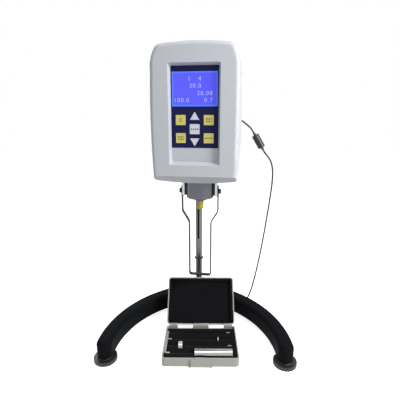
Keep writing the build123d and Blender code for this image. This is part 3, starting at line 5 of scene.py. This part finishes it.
import bpy
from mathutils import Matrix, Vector


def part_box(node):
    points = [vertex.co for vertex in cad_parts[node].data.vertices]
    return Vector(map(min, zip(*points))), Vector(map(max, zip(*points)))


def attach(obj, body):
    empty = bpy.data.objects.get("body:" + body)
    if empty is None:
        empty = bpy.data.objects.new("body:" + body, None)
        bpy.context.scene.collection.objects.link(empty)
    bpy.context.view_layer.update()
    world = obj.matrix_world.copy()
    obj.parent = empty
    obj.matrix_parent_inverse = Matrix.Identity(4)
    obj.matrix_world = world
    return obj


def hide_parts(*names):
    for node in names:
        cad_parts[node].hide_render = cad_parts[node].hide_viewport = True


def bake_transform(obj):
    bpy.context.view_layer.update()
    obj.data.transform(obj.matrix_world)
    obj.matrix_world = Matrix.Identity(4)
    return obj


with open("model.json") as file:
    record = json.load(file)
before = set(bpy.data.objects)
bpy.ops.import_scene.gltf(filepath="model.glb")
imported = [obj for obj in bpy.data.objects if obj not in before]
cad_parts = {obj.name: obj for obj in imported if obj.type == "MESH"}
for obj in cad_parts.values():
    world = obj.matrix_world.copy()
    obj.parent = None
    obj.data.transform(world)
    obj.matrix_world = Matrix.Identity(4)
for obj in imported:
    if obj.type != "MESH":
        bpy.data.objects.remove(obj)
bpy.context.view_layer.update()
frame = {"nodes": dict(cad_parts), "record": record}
bpy.ops.object.select_all(action="DESELECT")


# ------------------------------------------------------------------ node tools
COLUMN_STEP = 190
ROW_STEP = -220


def new_node(tree, kind, place, **values):
    """Add a node in a column and row of the sheet and set its named inputs or settings."""
    node = tree.nodes.new(kind)
    node.location = (place[0] * COLUMN_STEP, place[1] * ROW_STEP)
    for key, value in values.items():
        name = key.replace("_", " ")
        if name in node.inputs:
            node.inputs[name].default_value = value
        else:
            setattr(node, key, value)
    return node


def feed(tree, value, socket):
    """Link an output to a socket, or set the socket's own value."""
    if isinstance(value, bpy.types.NodeSocket):
        tree.links.new(value, socket)
    else:
        socket.default_value = value


def math_step(tree, place, operation, *values):
    """Output of a maths node that is fed with outputs or plain numbers."""
    node = new_node(tree, "ShaderNodeMath", place, operation=operation)
    for value, socket in zip(values, node.inputs):
        feed(tree, value, socket)
    return node.outputs[0]


def toned_color(tree, place, color, amount):
    """Output of a colour made lighter or darker by an amount."""
    node = new_node(tree, "ShaderNodeVectorMath", place, operation="SCALE")
    feed(tree, color, node.inputs[0])
    feed(tree, amount, node.inputs["Scale"])
    return node.outputs[0]


# ---------------------------------------------------------------- surface skins
NOISE_MIDDLE = 0.5
SPECK_LEVEL = 0.66


def skin_sheet(name, numbers):
    """Node group with a colour and named numbers in, and colour, roughness and height out."""
    tree = bpy.data.node_groups.new(name, "ShaderNodeTree")
    face = tree.interface
    face.new_socket(name="Color", in_out="INPUT", socket_type="NodeSocketColor")
    for title, value in numbers:
        kind = "NodeSocketVector" if isinstance(value, tuple) else "NodeSocketFloat"
        face.new_socket(name=title, in_out="INPUT", socket_type=kind).default_value = value
    face.new_socket(name="Color", in_out="OUTPUT", socket_type="NodeSocketColor")
    face.new_socket(name="Roughness", in_out="OUTPUT", socket_type="NodeSocketFloat")
    face.new_socket(name="Height", in_out="OUTPUT", socket_type="NodeSocketFloat")
    given = new_node(tree, "NodeGroupInput", (0, 1)).outputs
    result = new_node(tree, "NodeGroupOutput", (7, 1)).inputs
    return tree, given, result


def moulded_group():
    """Moulded or cast skin: broad patches of tone, fine grain and specks."""
    tree, given, result = skin_sheet("Moulded Skin", (
        ("Patch Scale", 12.0), ("Patch Amount", 0.06), ("Grain Scale", 900.0),
        ("Speck Amount", 0.0), ("Roughness", 0.45), ("Roughness Spread", 0.08)))
    place = new_node(tree, "ShaderNodeTexCoord", (0, 3)).outputs["Object"]
    patches = new_node(tree, "ShaderNodeTexNoise", (1, 2), Detail=3.0, Roughness=0.55)
    grain = new_node(tree, "ShaderNodeTexNoise", (1, 3), Detail=4.0, Roughness=0.6)
    for noise, scale in ((patches, "Patch Scale"), (grain, "Grain Scale")):
        feed(tree, place, noise.inputs["Vector"])
        feed(tree, given[scale], noise.inputs["Scale"])
    centred = math_step(tree, (2, 2), "SUBTRACT", patches.outputs["Fac"], NOISE_MIDDLE)
    change = math_step(tree, (3, 2), "MULTIPLY_ADD", centred, given["Patch Amount"], 1.0)
    toned = toned_color(tree, (4, 1), given["Color"], change)
    specks = math_step(tree, (3, 3), "GREATER_THAN", grain.outputs["Fac"], SPECK_LEVEL)
    lift = math_step(tree, (4, 3), "MULTIPLY", specks, given["Speck Amount"])
    tint = new_node(tree, "ShaderNodeVectorMath", (5, 1), operation="ADD")
    feed(tree, toned, tint.inputs[0])
    feed(tree, lift, tint.inputs[1])
    rough = math_step(tree, (4, 4), "MULTIPLY_ADD", centred, given["Roughness Spread"], given["Roughness"])
    feed(tree, tint.outputs[0], result["Color"])
    feed(tree, rough, result["Roughness"])
    feed(tree, grain.outputs["Fac"], result["Height"])
    return tree


def ground_group():
    """Turned, ground or rolled metal: fine lines stretched along one way, and smears."""
    tree, given, result = skin_sheet("Ground Metal", (
        ("Stretch", (1.0, 1.0, 1.0)), ("Line Amount", 0.15), ("Roughness", 0.3), ("Roughness Spread", 0.15)))
    place = new_node(tree, "ShaderNodeTexCoord", (0, 3)).outputs["Object"]
    scaled = new_node(tree, "ShaderNodeVectorMath", (1, 3), operation="MULTIPLY")
    lines = new_node(tree, "ShaderNodeTexNoise", (2, 3), Scale=60.0, Detail=4.0, Roughness=0.65)
    smears = new_node(tree, "ShaderNodeTexNoise", (2, 4), Scale=25.0, Detail=2.0)
    feed(tree, place, scaled.inputs[0])
    feed(tree, given["Stretch"], scaled.inputs[1])
    feed(tree, scaled.outputs[0], lines.inputs["Vector"])
    feed(tree, place, smears.inputs["Vector"])
    centred = math_step(tree, (3, 3), "SUBTRACT", lines.outputs["Fac"], NOISE_MIDDLE)
    change = math_step(tree, (4, 2), "MULTIPLY_ADD", centred, given["Line Amount"], 1.0)
    toned = toned_color(tree, (5, 1), given["Color"], change)
    smeared = math_step(tree, (4, 4), "SUBTRACT", smears.outputs["Fac"], NOISE_MIDDLE)
    rough = math_step(tree, (5, 3), "MULTIPLY_ADD", smeared, given["Roughness Spread"], given["Roughness"])
    feed(tree, toned, result["Color"])
    feed(tree, rough, result["Roughness"])
    feed(tree, lines.outputs["Fac"], result["Height"])
    return tree


moulded_skin = moulded_group()
ground_metal = ground_group()


def finish_material(name, group, color, bump, distance, shader_values, skin_values):
    """Material with one of the two skins feeding colour, roughness and bump."""
    material = bpy.data.materials.new(name)
    material.use_nodes = True
    tree = material.node_tree
    shader = tree.nodes["Principled BSDF"]
    for key, value in shader_values.items():
        shader.inputs[key.replace("_", " ")].default_value = value
    skin = new_node(tree, "ShaderNodeGroup", (-4, 0), node_tree=group)
    skin.inputs["Color"].default_value = (*color, 1.0)
    for key, value in skin_values.items():
        skin.inputs[key].default_value = value
    relief = new_node(tree, "ShaderNodeBump", (-2, 2), Strength=bump, Distance=distance)
    feed(tree, skin.outputs["Color"], shader.inputs["Base Color"])
    feed(tree, skin.outputs["Roughness"], shader.inputs["Roughness"])
    feed(tree, skin.outputs["Height"], relief.inputs["Height"])
    feed(tree, relief.outputs["Normal"], shader.inputs["Normal"])
    return material


def moulding(name, color, rough, patch=0.05, patch_scale=12.0, grain=900.0, specks=0.0,
             spread=0.08, bump=0.12, distance=0.0002, **shader_values):
    """Moulded plastic, paint, rubber or foam."""
    values = {"Patch Scale": patch_scale, "Patch Amount": patch, "Grain Scale": grain,
              "Speck Amount": specks, "Roughness": rough, "Roughness Spread": spread}
    return finish_material(name, moulded_skin, color, bump, distance, shader_values, values)


def metal(name, color, rough, stretch=(1.0, 1.0, 1.0), lines=0.15):
    """Bare or plated metal with its working marks, which are shallow."""
    bump, distance, spread = 0.05, 0.0001, 0.15
    values = {"Stretch": stretch, "Line Amount": lines, "Roughness": rough, "Roughness Spread": spread}
    return finish_material(name, ground_metal, color, bump, distance, {"Metallic": 1.0}, values)


# ------------------------------------------------------------------- materials
finishes = {
    "base_enamel": moulding("Base Enamel", (0.0060, 0.0065, 0.0080), 0.66, patch=0.35, patch_scale=30.0,
                            grain=420.0, specks=0.003, spread=0.15, bump=0.5, distance=0.0004,
                            Specular_IOR_Level=0.03),
    "foot_black": moulding("Foot Black", (0.014, 0.014, 0.015), 0.42, patch=0.2, bump=0.2),
    "steel": metal("Column Steel", (0.13, 0.13, 0.132), 0.22, stretch=(30.0, 30.0, 0.6), lines=0.35),
    # Painted shade: the rack is coloured near black to stand in for the shade between its teeth.
    "rack_steel": metal("Rack Steel Painted Shade", (0.02, 0.02, 0.023), 0.45, stretch=(8.0, 8.0, 1.0), lines=0.4),
    "nickel": metal("Satin Nickel", (0.50, 0.50, 0.51), 0.24, stretch=(6.0, 6.0, 6.0), lines=0.12),
    "guard_steel": metal("Guard Steel", (0.020, 0.021, 0.023), 0.42, stretch=(20.0, 20.0, 0.8), lines=0.45),
    "aluminium": metal("Turned Aluminium", (0.12, 0.117, 0.14), 0.36, stretch=(1.0, 1.0, 40.0), lines=0.3),
    "clamp_paint": moulding("Clamp Enamel", (0.015, 0.016, 0.018), 0.5, patch=0.2, grain=600.0,
                            bump=0.3, distance=0.0003, Specular_IOR_Level=0.35),
    "housing": moulding("Housing Grey", (0.50, 0.525, 0.56), 0.42, patch=0.04, patch_scale=7.0,
                        grain=1400.0, spread=0.06, bump=0.10, distance=0.00015,
                        Coat_Weight=0.06, Coat_Roughness=0.3),
    "black_plastic": moulding("Black Moulding", (0.012, 0.012, 0.013), 0.42, patch=0.2, bump=0.1),
    "panel_blue": moulding("Panel Blue", (0.008, 0.009, 0.055), 0.42, patch=0.12, grain=1800.0,
                           bump=0.06, distance=0.0001, Specular_IOR_Level=0.12),
    "display_blue": moulding("Display Blue", (0.075, 0.075, 0.62), 0.3, patch=0.06, patch_scale=30.0,
                             grain=2600.0, bump=0.02, distance=0.00005,
                             Emission_Color=(0.09, 0.09, 1.0, 1.0), Emission_Strength=0.42,
                             Specular_IOR_Level=0.3),
    "key_yellow": moulding("Key Yellow", (0.60, 0.54, 0.15), 0.45, patch=0.06, patch_scale=60.0, bump=0.08),
    "key_white": moulding("Key Grey", (0.60, 0.62, 0.67), 0.45, patch=0.05, patch_scale=60.0, bump=0.08),
    "board": moulding("Circuit Board", (0.02, 0.16, 0.06), 0.35, patch=0.2, patch_scale=90.0),
    "brass": metal("Brass", (0.70, 0.48, 0.20), 0.28, lines=0.15),
    "spring_steel": metal("Spring Strip", (0.30, 0.32, 0.38), 0.28, lines=0.2),
    "transit_cap": moulding("Cap Olive", (0.36, 0.33, 0.03), 0.36, patch=0.15, patch_scale=60.0,
                            bump=0.08, Subsurface_Weight=0.1, Subsurface_Scale=0.002),
    "rubber": moulding("Black Rubber", (0.012, 0.012, 0.012), 0.62, patch=0.2, bump=0.25),
    "case_shell": moulding("Tray Grey", (0.38, 0.38, 0.35), 0.5, patch=0.08, patch_scale=14.0,
                           grain=700.0, bump=0.35, distance=0.0003),
    "foam": moulding("Black Foam", (0.006, 0.0062, 0.0072), 0.95, patch=0.5, patch_scale=50.0,
                     grain=520.0, specks=0.006, spread=0.04, bump=0.9, distance=0.0007,
                     Specular_IOR_Level=0.1),
    "spindle_steel": metal("Spindle Steel", (0.42, 0.42, 0.41), 0.2, stretch=(6.0, 1.0, 1.0), lines=0.12),
    "level_glass": moulding("Level Bezel", (0.45, 0.5, 0.2), 0.15, patch=0.1),
    "cable": moulding("Cable Sheath", (0.010, 0.010, 0.011), 0.48, patch=0.2, bump=0.1),
}


def finish_nodes():
    """Give every carried-over node the finish of its slot in the record."""
    for part in frame["record"]["subparts"]:
        slots = frame["nodes"][part["node"]].data.materials
        finish = finishes[part["material_slot"]]
        if slots:
            for index in range(len(slots)):
                slots[index] = finish
        else:
            slots.append(finish)


def place_axes(tree):
    """X, Y and Z of a point on the piece."""
    place = new_node(tree, "ShaderNodeTexCoord", (-6, 4))
    parts = new_node(tree, "ShaderNodeSeparateXYZ", (-5, 4))
    feed(tree, place.outputs["Object"], parts.inputs[0])
    return parts.outputs


def fade(tree, row, value, start, end):
    """Output that is one at start and falls smoothly to nothing at end."""
    band = new_node(tree, "ShaderNodeMapRange", (-4, row), interpolation_type="SMOOTHSTEP",
                    From_Min=start, From_Max=end, To_Min=1.0, To_Max=0.0)
    feed(tree, value, band.inputs["Value"])
    return band.outputs[0]


def lay_over(tree, socket, color, mask):
    """Lay a colour over what a shader's socket has, where the mask is one."""
    mixed = new_node(tree, "ShaderNodeMix", (-2, 5), data_type="RGBA")
    under = socket.links[0].from_socket if socket.links else socket.default_value
    feed(tree, under, mixed.inputs["A"])
    feed(tree, (*color, 1.0), mixed.inputs["B"])
    feed(tree, mask, mixed.inputs["Factor"])
    feed(tree, mixed.outputs["Result"], socket)


def edge_glow(material, node, width, glow):
    """Lighter band along a lit window's edges, where its lamp sits."""
    tree = material.node_tree
    axes = place_axes(tree)
    low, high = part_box(node)
    mask = 0.0
    for row, (axis, edge, inward) in enumerate((("X", low.x, width), ("X", high.x, -width),
                                                ("Z", low.z, width), ("Z", high.z, -width))):
        band = fade(tree, 4 + row, axes[axis], edge, edge + inward)
        mask = math_step(tree, (-3, 4 + row), "MAXIMUM", mask, band)
    for name in ("Base Color", "Emission Color"):
        lay_over(tree, tree.nodes["Principled BSDF"].inputs[name], glow, mask)


def painted_groove_shade(material, low, high, tone):
    """Painted shade on the thin shafts, which lie lower than the bright bobs, down in the foam's grooves."""
    tree = material.node_tree
    mask = fade(tree, 4, place_axes(tree)["Z"], low, high)
    lay_over(tree, tree.nodes["Principled BSDF"].inputs["Base Color"], tone, mask)


finish_nodes()
edge_glow(finishes["display_blue"], "display", width=0.0035, glow=(0.07, 0.19, 1.0))
# Painted shade: spindle steel turns darker below the foam's top, where the grooves shade the thin shafts.
painted_groove_shade(finishes["spindle_steel"], low=0.0146, high=0.0162, tone=(0.014, 0.014, 0.015))


# ----------------------------------------------------------------- piece tools
SMOOTH_ANGLE = 40
CORD_SMOOTH_ANGLE = 50


def select_only(piece):
    """Make a piece the only selected object, and the active one."""
    bpy.ops.object.select_all(action="DESELECT")
    piece.select_set(True)
    bpy.context.view_layer.objects.active = piece


def settle(piece, body, finish):
    """Bake a piece's place into its mesh, give it its finish and its body."""
    select_only(piece)
    bpy.ops.object.transform_apply(location=True, rotation=True, scale=True)
    piece.data.materials.clear()
    piece.data.materials.append(finish)
    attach(piece, body)


def round_edges(piece, width, segments):
    """Round a piece's edges with an applied bevel."""
    modifier = piece.modifiers.new("Rounding", "BEVEL")
    modifier.width = width
    modifier.segments = segments
    modifier.limit_method = "ANGLE"
    bpy.context.view_layer.objects.active = piece
    bpy.ops.object.modifier_apply(modifier=modifier.name)
    bpy.ops.object.shade_smooth_by_angle(angle=math.radians(SMOOTH_ANGLE))


# ----------------------------------------------------------- figures and legends
FACING_FRONT = (math.radians(90), 0, 0)
PRINT_T = 0.0001
FIGURE_SIZE = 0.0088
FIGURE_SPACING = 1.25
LEGEND_H = 0.0022
LEGEND_LIFT = 0.00004
LEGEND_STEPS = 7

legend_ink = moulding("Legend Ink", (0.06, 0.015, 0.006), 0.6, patch=0.1, bump=0.0)
dark_ink = moulding("Dark Ink", (0.03, 0.03, 0.035), 0.6, patch=0.1, bump=0.0)
character_light = moulding("Character Light", (0.36, 0.40, 0.85), 0.5, patch=0.05, bump=0.0,
                           Emission_Color=(0.36, 0.40, 1.0, 1.0), Emission_Strength=0.3)

# Name, figures, right edge and foot of each row.
FIGURE_ROWS = (
    ("figures_1", "1   4", 0.0275, 0.4635),
    ("figures_2", "30.0", 0.0275, 0.4535),
    ("figures_3", "20.08", 0.045, 0.4425),
    ("figures_4", "0.7", 0.045, 0.4325),
    ("figures_5", "100.0", 0.009, 0.4325),
)
# Key, row, height over the key's middle, width and ink of each bar.
LEGENDS = (
    ("key_upper_right", "high", 0.0018, 0.0085, dark_ink),
    ("key_upper_right", "low", -0.0020, 0.0085, legend_ink),
    ("key_lower_left", "high", 0.0018, 0.0085, dark_ink),
    ("key_lower_left", "low", -0.0020, 0.0085, legend_ink),
    ("key_upper_left", "high", 0.0018, 0.0030, legend_ink),
    ("key_upper_left", "low", -0.0018, 0.0030, legend_ink),
    ("key_lower_right", "middle", 0.0, 0.0110, dark_ink),
    ("key_middle", "middle", 0.0, 0.0120, dark_ink),
)


def figure_row(name, text, right, foot):
    """One row of plain figures, raised a hair over the display."""
    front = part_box("display")[0].y
    bpy.ops.object.text_add(location=(right, front - PRINT_T / 2, foot), rotation=FACING_FRONT)
    row = bpy.context.object
    row.name = name
    row.data.body = text
    row.data.size = FIGURE_SIZE
    row.data.extrude = PRINT_T
    row.data.align_x = "RIGHT"
    row.data.space_character = FIGURE_SPACING
    bpy.ops.object.convert(target="MESH")
    settle(bpy.context.object, "head", character_light)


def legend(key, row, offset, width, ink):
    """Printed bar on a key, slightly raised, broken into plain dashes."""
    low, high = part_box(key)
    middle = (low + high) / 2
    place = (middle.x, low.y - LEGEND_LIFT, middle.z + offset)
    bpy.ops.mesh.primitive_plane_add(size=1.0, location=place, rotation=FACING_FRONT)
    bar = bpy.context.object
    bar.name = f"{key}_legend_{row}"
    bar.scale = (width, LEGEND_H, 1.0)
    bpy.ops.object.transform_apply(location=True, rotation=True, scale=True)
    bpy.ops.object.mode_set(mode="EDIT")
    bpy.ops.mesh.select_all(action="SELECT")
    bpy.ops.mesh.subdivide(number_cuts=LEGEND_STEPS - 1)
    bpy.ops.mesh.select_mode(type="FACE")
    bpy.ops.mesh.select_all(action="DESELECT")
    bpy.ops.object.mode_set(mode="OBJECT")
    for face in bar.data.polygons:
        share = (face.center.x - middle.x) / width + 0.5
        face.select = int(share * LEGEND_STEPS) % 2 == 1
    bpy.ops.object.mode_set(mode="EDIT")
    bpy.ops.mesh.delete(type="FACE")
    bpy.ops.mesh.select_all(action="SELECT")
    bpy.ops.mesh.extrude_region_move(TRANSFORM_OT_translate={"value": (0, -PRINT_T, 0)})
    bpy.ops.object.mode_set(mode="OBJECT")
    settle(bar, f"{key}_body", ink)


for figure in FIGURE_ROWS:
    figure_row(*figure)
for bar in LEGENDS:
    legend(*bar)


# ------------------------------------------------------------------ case foam
MERGE_DISTANCE = 0.00001
FLAT_ANGLE = 2


def soft_copy(node, name, body, rounding):
    """Copy of a foam solid with its cut edges softened."""
    source = frame["nodes"][node]
    piece = source.copy()
    piece.data = source.data.copy()
    piece.name = name
    piece.parent = None
    bpy.context.collection.objects.link(piece)
    select_only(piece)
    bpy.ops.object.mode_set(mode="EDIT")
    bpy.ops.mesh.select_all(action="SELECT")
    bpy.ops.mesh.remove_doubles(threshold=MERGE_DISTANCE)
    bpy.ops.mesh.dissolve_limited(angle_limit=math.radians(FLAT_ANGLE))
    bpy.ops.object.mode_set(mode="OBJECT")
    round_edges(piece, rounding, segments=2)
    settle(piece, body, finishes["foam"])
    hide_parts(node)


soft_copy("case_foam", "tray_foam_insert", "case", rounding=0.0004)
soft_copy("lid_foam", "lid_foam_pad", "lid", rounding=0.0006)


# -------------------------------------------------------- painted shade in the guard gap, and tray trim
LUG_T = 0.004
# Sizes of the black blocks of painted shade in the gap between the bearing cup and the guard's lugs.
GAP_SHADE_CLEARANCE = 0.0002
GAP_SHADE_OVERLAP = 0.0012
GAP_SHADE_FRONT = -0.002
GAP_SHADE_BACK = 0.0075
GAP_SHADE_LIFT = 0.001
GAP_SHADE_REACH = 0.004
LEDGE_LOW = (-0.0587, -0.2027, 0.002)
LEDGE_HIGH = (-0.0551, -0.1413, 0.0138)
CASE_TURN = 7.5


def trim_block(name, low, high, body, finish, rounding, turn=0.0):
    """Small moulded block between two corners, turned about the upright axis in degrees."""
    bpy.ops.object.select_all(action="DESELECT")
    bpy.ops.mesh.primitive_cube_add(size=1.0, location=[(a + b) / 2 for a, b in zip(low, high)])
    block = bpy.context.object
    block.name = name
    block.scale = [b - a for a, b in zip(low, high)]
    bpy.ops.object.transform_apply(location=True, rotation=True, scale=True)
    block.rotation_euler.z = math.radians(turn)
    bpy.ops.object.transform_apply(location=False, rotation=True, scale=False)
    round_edges(block, rounding, segments=3)
    settle(block, body, finish)


def guard_gap_shade():
    """Painted shade: black blocks fill the shadowed gap between the bearing cup and the guard's two lugs, up
    into the housing.
    """
    cup_low, cup_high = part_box("cup")
    lugs_low, lugs_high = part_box("guard_lugs")
    middle = (lugs_low.y + lugs_high.y) / 2
    front, back = middle + GAP_SHADE_FRONT, middle + GAP_SHADE_BACK
    bottom, top = lugs_low.z + GAP_SHADE_LIFT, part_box("front_shell")[0].z + GAP_SHADE_REACH
    spans = {"guard_gap_shade_left": (lugs_low.x + LUG_T + GAP_SHADE_CLEARANCE, cup_low.x + GAP_SHADE_OVERLAP),
             "guard_gap_shade_right": (cup_high.x - GAP_SHADE_OVERLAP, lugs_high.x - LUG_T - GAP_SHADE_CLEARANCE)}
    for name, (left, right) in spans.items():
        trim_block(name, (left, front, bottom), (right, back, top), "head",
                   finishes["black_plastic"], rounding=0.0004)


def tray_ledge():
    """Pale moulded rib in the left end of the tray, beside the foam."""
    trim_block("tray_ledge", LEDGE_LOW, LEDGE_HIGH, "case", finishes["case_shell"], rounding=0.0003,
               turn=CASE_TURN)


# Painted shade: black blocks stand in for the shadowed gap beside the bearing cup.
guard_gap_shade()
tray_ledge()


# ------------------------------------------------------------------------ lead
# Places along the lead are in millimetres.
CORD_D = 3.3
UPPER_ROUTE = [(68, -24, 412), (68, -14, 412), (71.5, -3.5, 410.3), (80, 3.2, 406), (90.5, 6, 399.8),
               (99.5, 6, 392.5), (106.2, 6, 386.6), (111.6, 6, 377.6)]
LOWER_ROUTE = [(131, 6, 345.3), (136, 6, 337), (142.5, 8, 330), (149, 10, 320), (153.5, 12, 303),
               (154, 14, 278), (151, 16, 240), (146, 18, 192), (140, 20, 140), (133, 21, 90), (126, 21, 50),
               (119.5, 18, 22), (113.5, 12, 7), (107, 1, 1.65), (98, -12, 1.65), (88, -24, 1.65),
               (77.5, -33.5, 1.65), (68.5, -40.5, 1.65), (61.9, -48.5, 1.65), (58.6, -59, 1.65)]
COIL_PLACE = (34.0, -66.0)
COIL_TURNS = [(21.2, 1.7), (17.3, 1.7), (17.3, 5.0), (21.2, 5.0), (21.2, 8.3), (17.3, 8.3), (17.3, 11.3),
              (21.2, 11.3)]
COIL_STEP = 20
CROSSING_ANGLE = 60
COIL_START = -20
LAST_TURN = 140
TAIL = [(30, -87.8, 11.2), (24, -88.3, 10), (18, -88.2, 7.6), (12, -87.6, 5.5), (8, -87.35, 5),
        (3, -87.35, 5)]


def coil_points():
    """Turns of the coil, clockwise, each of a radius and height, beside or on the one before it."""
    places = []
    angle = COIL_START
    for turn, after in zip(COIL_TURNS, COIL_TURNS[1:] + [None]):
        steady = 360 - 2 * CROSSING_ANGLE if after else LAST_TURN
        for step in range(0, steady, COIL_STEP):
            places.append((*turn, angle - step))
        angle -= steady
        if after:
            for step in range(0, CROSSING_ANGLE, COIL_STEP):
                share = (step + COIL_STEP / 2) / (CROSSING_ANGLE + COIL_STEP)
                radius, height = (a + (b - a) * share for a, b in zip(turn, after))
                places.append((radius, height, angle - step))
            angle -= CROSSING_ANGLE
    x, y = COIL_PLACE
    return [(x + radius * math.cos(math.radians(angle)), y + radius * math.sin(math.radians(angle)), height)
            for radius, height, angle in places]


def route_curve(name, points):
    """Smooth curve that has a cord's points as its control points."""
    curve = bpy.data.curves.new(name, "CURVE")
    curve.dimensions = "3D"
    curve.resolution_u = 8
    spline = curve.splines.new("NURBS")
    spline.points.add(len(points) - 1)
    for point, place in zip(spline.points, points):
        point.co = (*(length / 1000 for length in place), 1.0)
    spline.order_u = 3
    spline.use_endpoint_u = True
    cord = bpy.data.objects.new(name, curve)
    bpy.context.collection.objects.link(cord)
    return cord


def power_lead():
    """Lead from its plug to the adapter."""
    lead = route_curve("power_lead", UPPER_ROUTE + LOWER_ROUTE + coil_points() + TAIL)
    centreline = bpy.data.meshes.new_from_object(lead)
    lead.data.bevel_depth = CORD_D / 2000
    lead.data.bevel_resolution = 3
    lead.data.use_fill_caps = True
    select_only(lead)
    bpy.ops.object.convert(target="MESH")
    lead = bpy.context.object
    bpy.ops.object.shade_smooth_by_angle(angle=math.radians(CORD_SMOOTH_ANGLE))
    lead.data.materials.clear()
    lead.data.materials.append(finishes["cable"])
    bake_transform(lead)
    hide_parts("lead_upper", "lead_lower", "lead_coil")


power_lead()


# ------------------------------------------------------- floor, lights and camera
FLOOR_SIZE = 6.0
FLOOR_GLOW = 0.86
SKY_LIGHT = 0.21
CAMERA_PLACE = (0.0998, -0.6929, 0.4141)
CAMERA_DOWN = 14.3
CAMERA_TURN = 8.0
CAMERA_LENS = 30.18
SENSOR_W = 36.0
WHITE = (1.0, 1.0, 1.0, 1.0)
# Name, place, what it is turned to, size in metres and power in watts of each lamp.
LAMPS = (
    ("key_light", (0.78, -0.52, 0.72), (0.02, -0.15, 0.35), 0.4, 10.0),
    ("fill_light", (-1.1, -0.9, 0.9), (0.0, -0.1, 0.3), 0.9, 0.8),
    ("rear_light", (-0.7, 1.3, 1.1), (0.0, 0.0, 0.3), 0.9, 7.0),
    ("top_light", (-0.1, -0.5, 1.6), (0.0, -0.15, 0.2), 0.9, 6.0),
)


def shown_to_rays(tree, plain, background, surface):
    """Show a background to the camera, in a reflection and through glass, and plain light elsewhere."""
    rays = new_node(tree, "ShaderNodeLightPath", (1, 3)).outputs
    both = math_step(tree, (2, 4), "MAXIMUM", rays["Is Camera Ray"], rays["Is Glossy Ray"])
    every = math_step(tree, (3, 4), "MAXIMUM", both, rays["Is Transmission Ray"])
    chosen = new_node(tree, "ShaderNodeMixShader", (4, 1))
    for value, socket in zip((every, plain, background), chosen.inputs):
        feed(tree, value, socket)
    feed(tree, chosen.outputs[0], surface)


def studio_floor():
    """Pale paper that keeps the object's shadow and meets the white backdrop."""
    bpy.ops.mesh.primitive_plane_add(size=FLOOR_SIZE, location=(0, 0, 0))
    floor = bpy.context.object
    floor.name = "floor"
    paper = moulding("Studio Paper", (0.80, 0.80, 0.80), 0.85, patch=0.01, patch_scale=1.0, bump=0.0)
    tree = paper.node_tree
    shader = tree.nodes["Principled BSDF"]
    glow = new_node(tree, "ShaderNodeEmission", (1, 2), Strength=FLOOR_GLOW)
    joined = new_node(tree, "ShaderNodeAddShader", (2, 1))
    feed(tree, shader.outputs[0], joined.inputs[0])
    feed(tree, glow.outputs[0], joined.inputs[1])
    shown_to_rays(tree, shader.outputs[0], joined.outputs[0], tree.nodes["Material Output"].inputs["Surface"])
    floor.data.materials.append(paper)


def studio_world():
    """Soft even light in front of a white backdrop."""
    world = bpy.data.worlds.new("Studio")
    bpy.context.scene.world = world
    world.use_nodes = True
    tree = world.node_tree
    soft = tree.nodes["Background"]
    bright = new_node(tree, "ShaderNodeBackground", (0, 2))
    for light, strength in ((soft, SKY_LIGHT), (bright, 1.0)):
        light.inputs["Color"].default_value = WHITE
        light.inputs["Strength"].default_value = strength
    shown_to_rays(tree, soft.outputs[0], bright.outputs[0], tree.nodes["World Output"].inputs["Surface"])


def area_light(name, place, aim, size, power):
    """Soft square lamp at a place, turned to what it lights."""
    data = bpy.data.lights.new(name, "AREA")
    data.size = size
    data.energy = power
    lamp = bpy.data.objects.new(name, data)
    lamp.location = place
    lamp.rotation_euler = (Vector(aim) - Vector(place)).to_track_quat("-Z", "Y").to_euler()
    bpy.context.collection.objects.link(lamp)


def studio_camera():
    """Camera a little above the case, looking down at the stand."""
    data = bpy.data.cameras.new("camera")
    data.lens = CAMERA_LENS
    data.sensor_width = SENSOR_W
    camera = bpy.data.objects.new("camera", data)
    camera.location = CAMERA_PLACE
    camera.rotation_euler = (math.radians(90 - CAMERA_DOWN), 0.0, math.radians(CAMERA_TURN))
    bpy.context.collection.objects.link(camera)
    bpy.context.scene.camera = camera


studio_floor()
studio_world()
for lamp in LAMPS:
    area_light(*lamp)
studio_camera()
bpy.context.scene.view_settings.view_transform = "Standard"
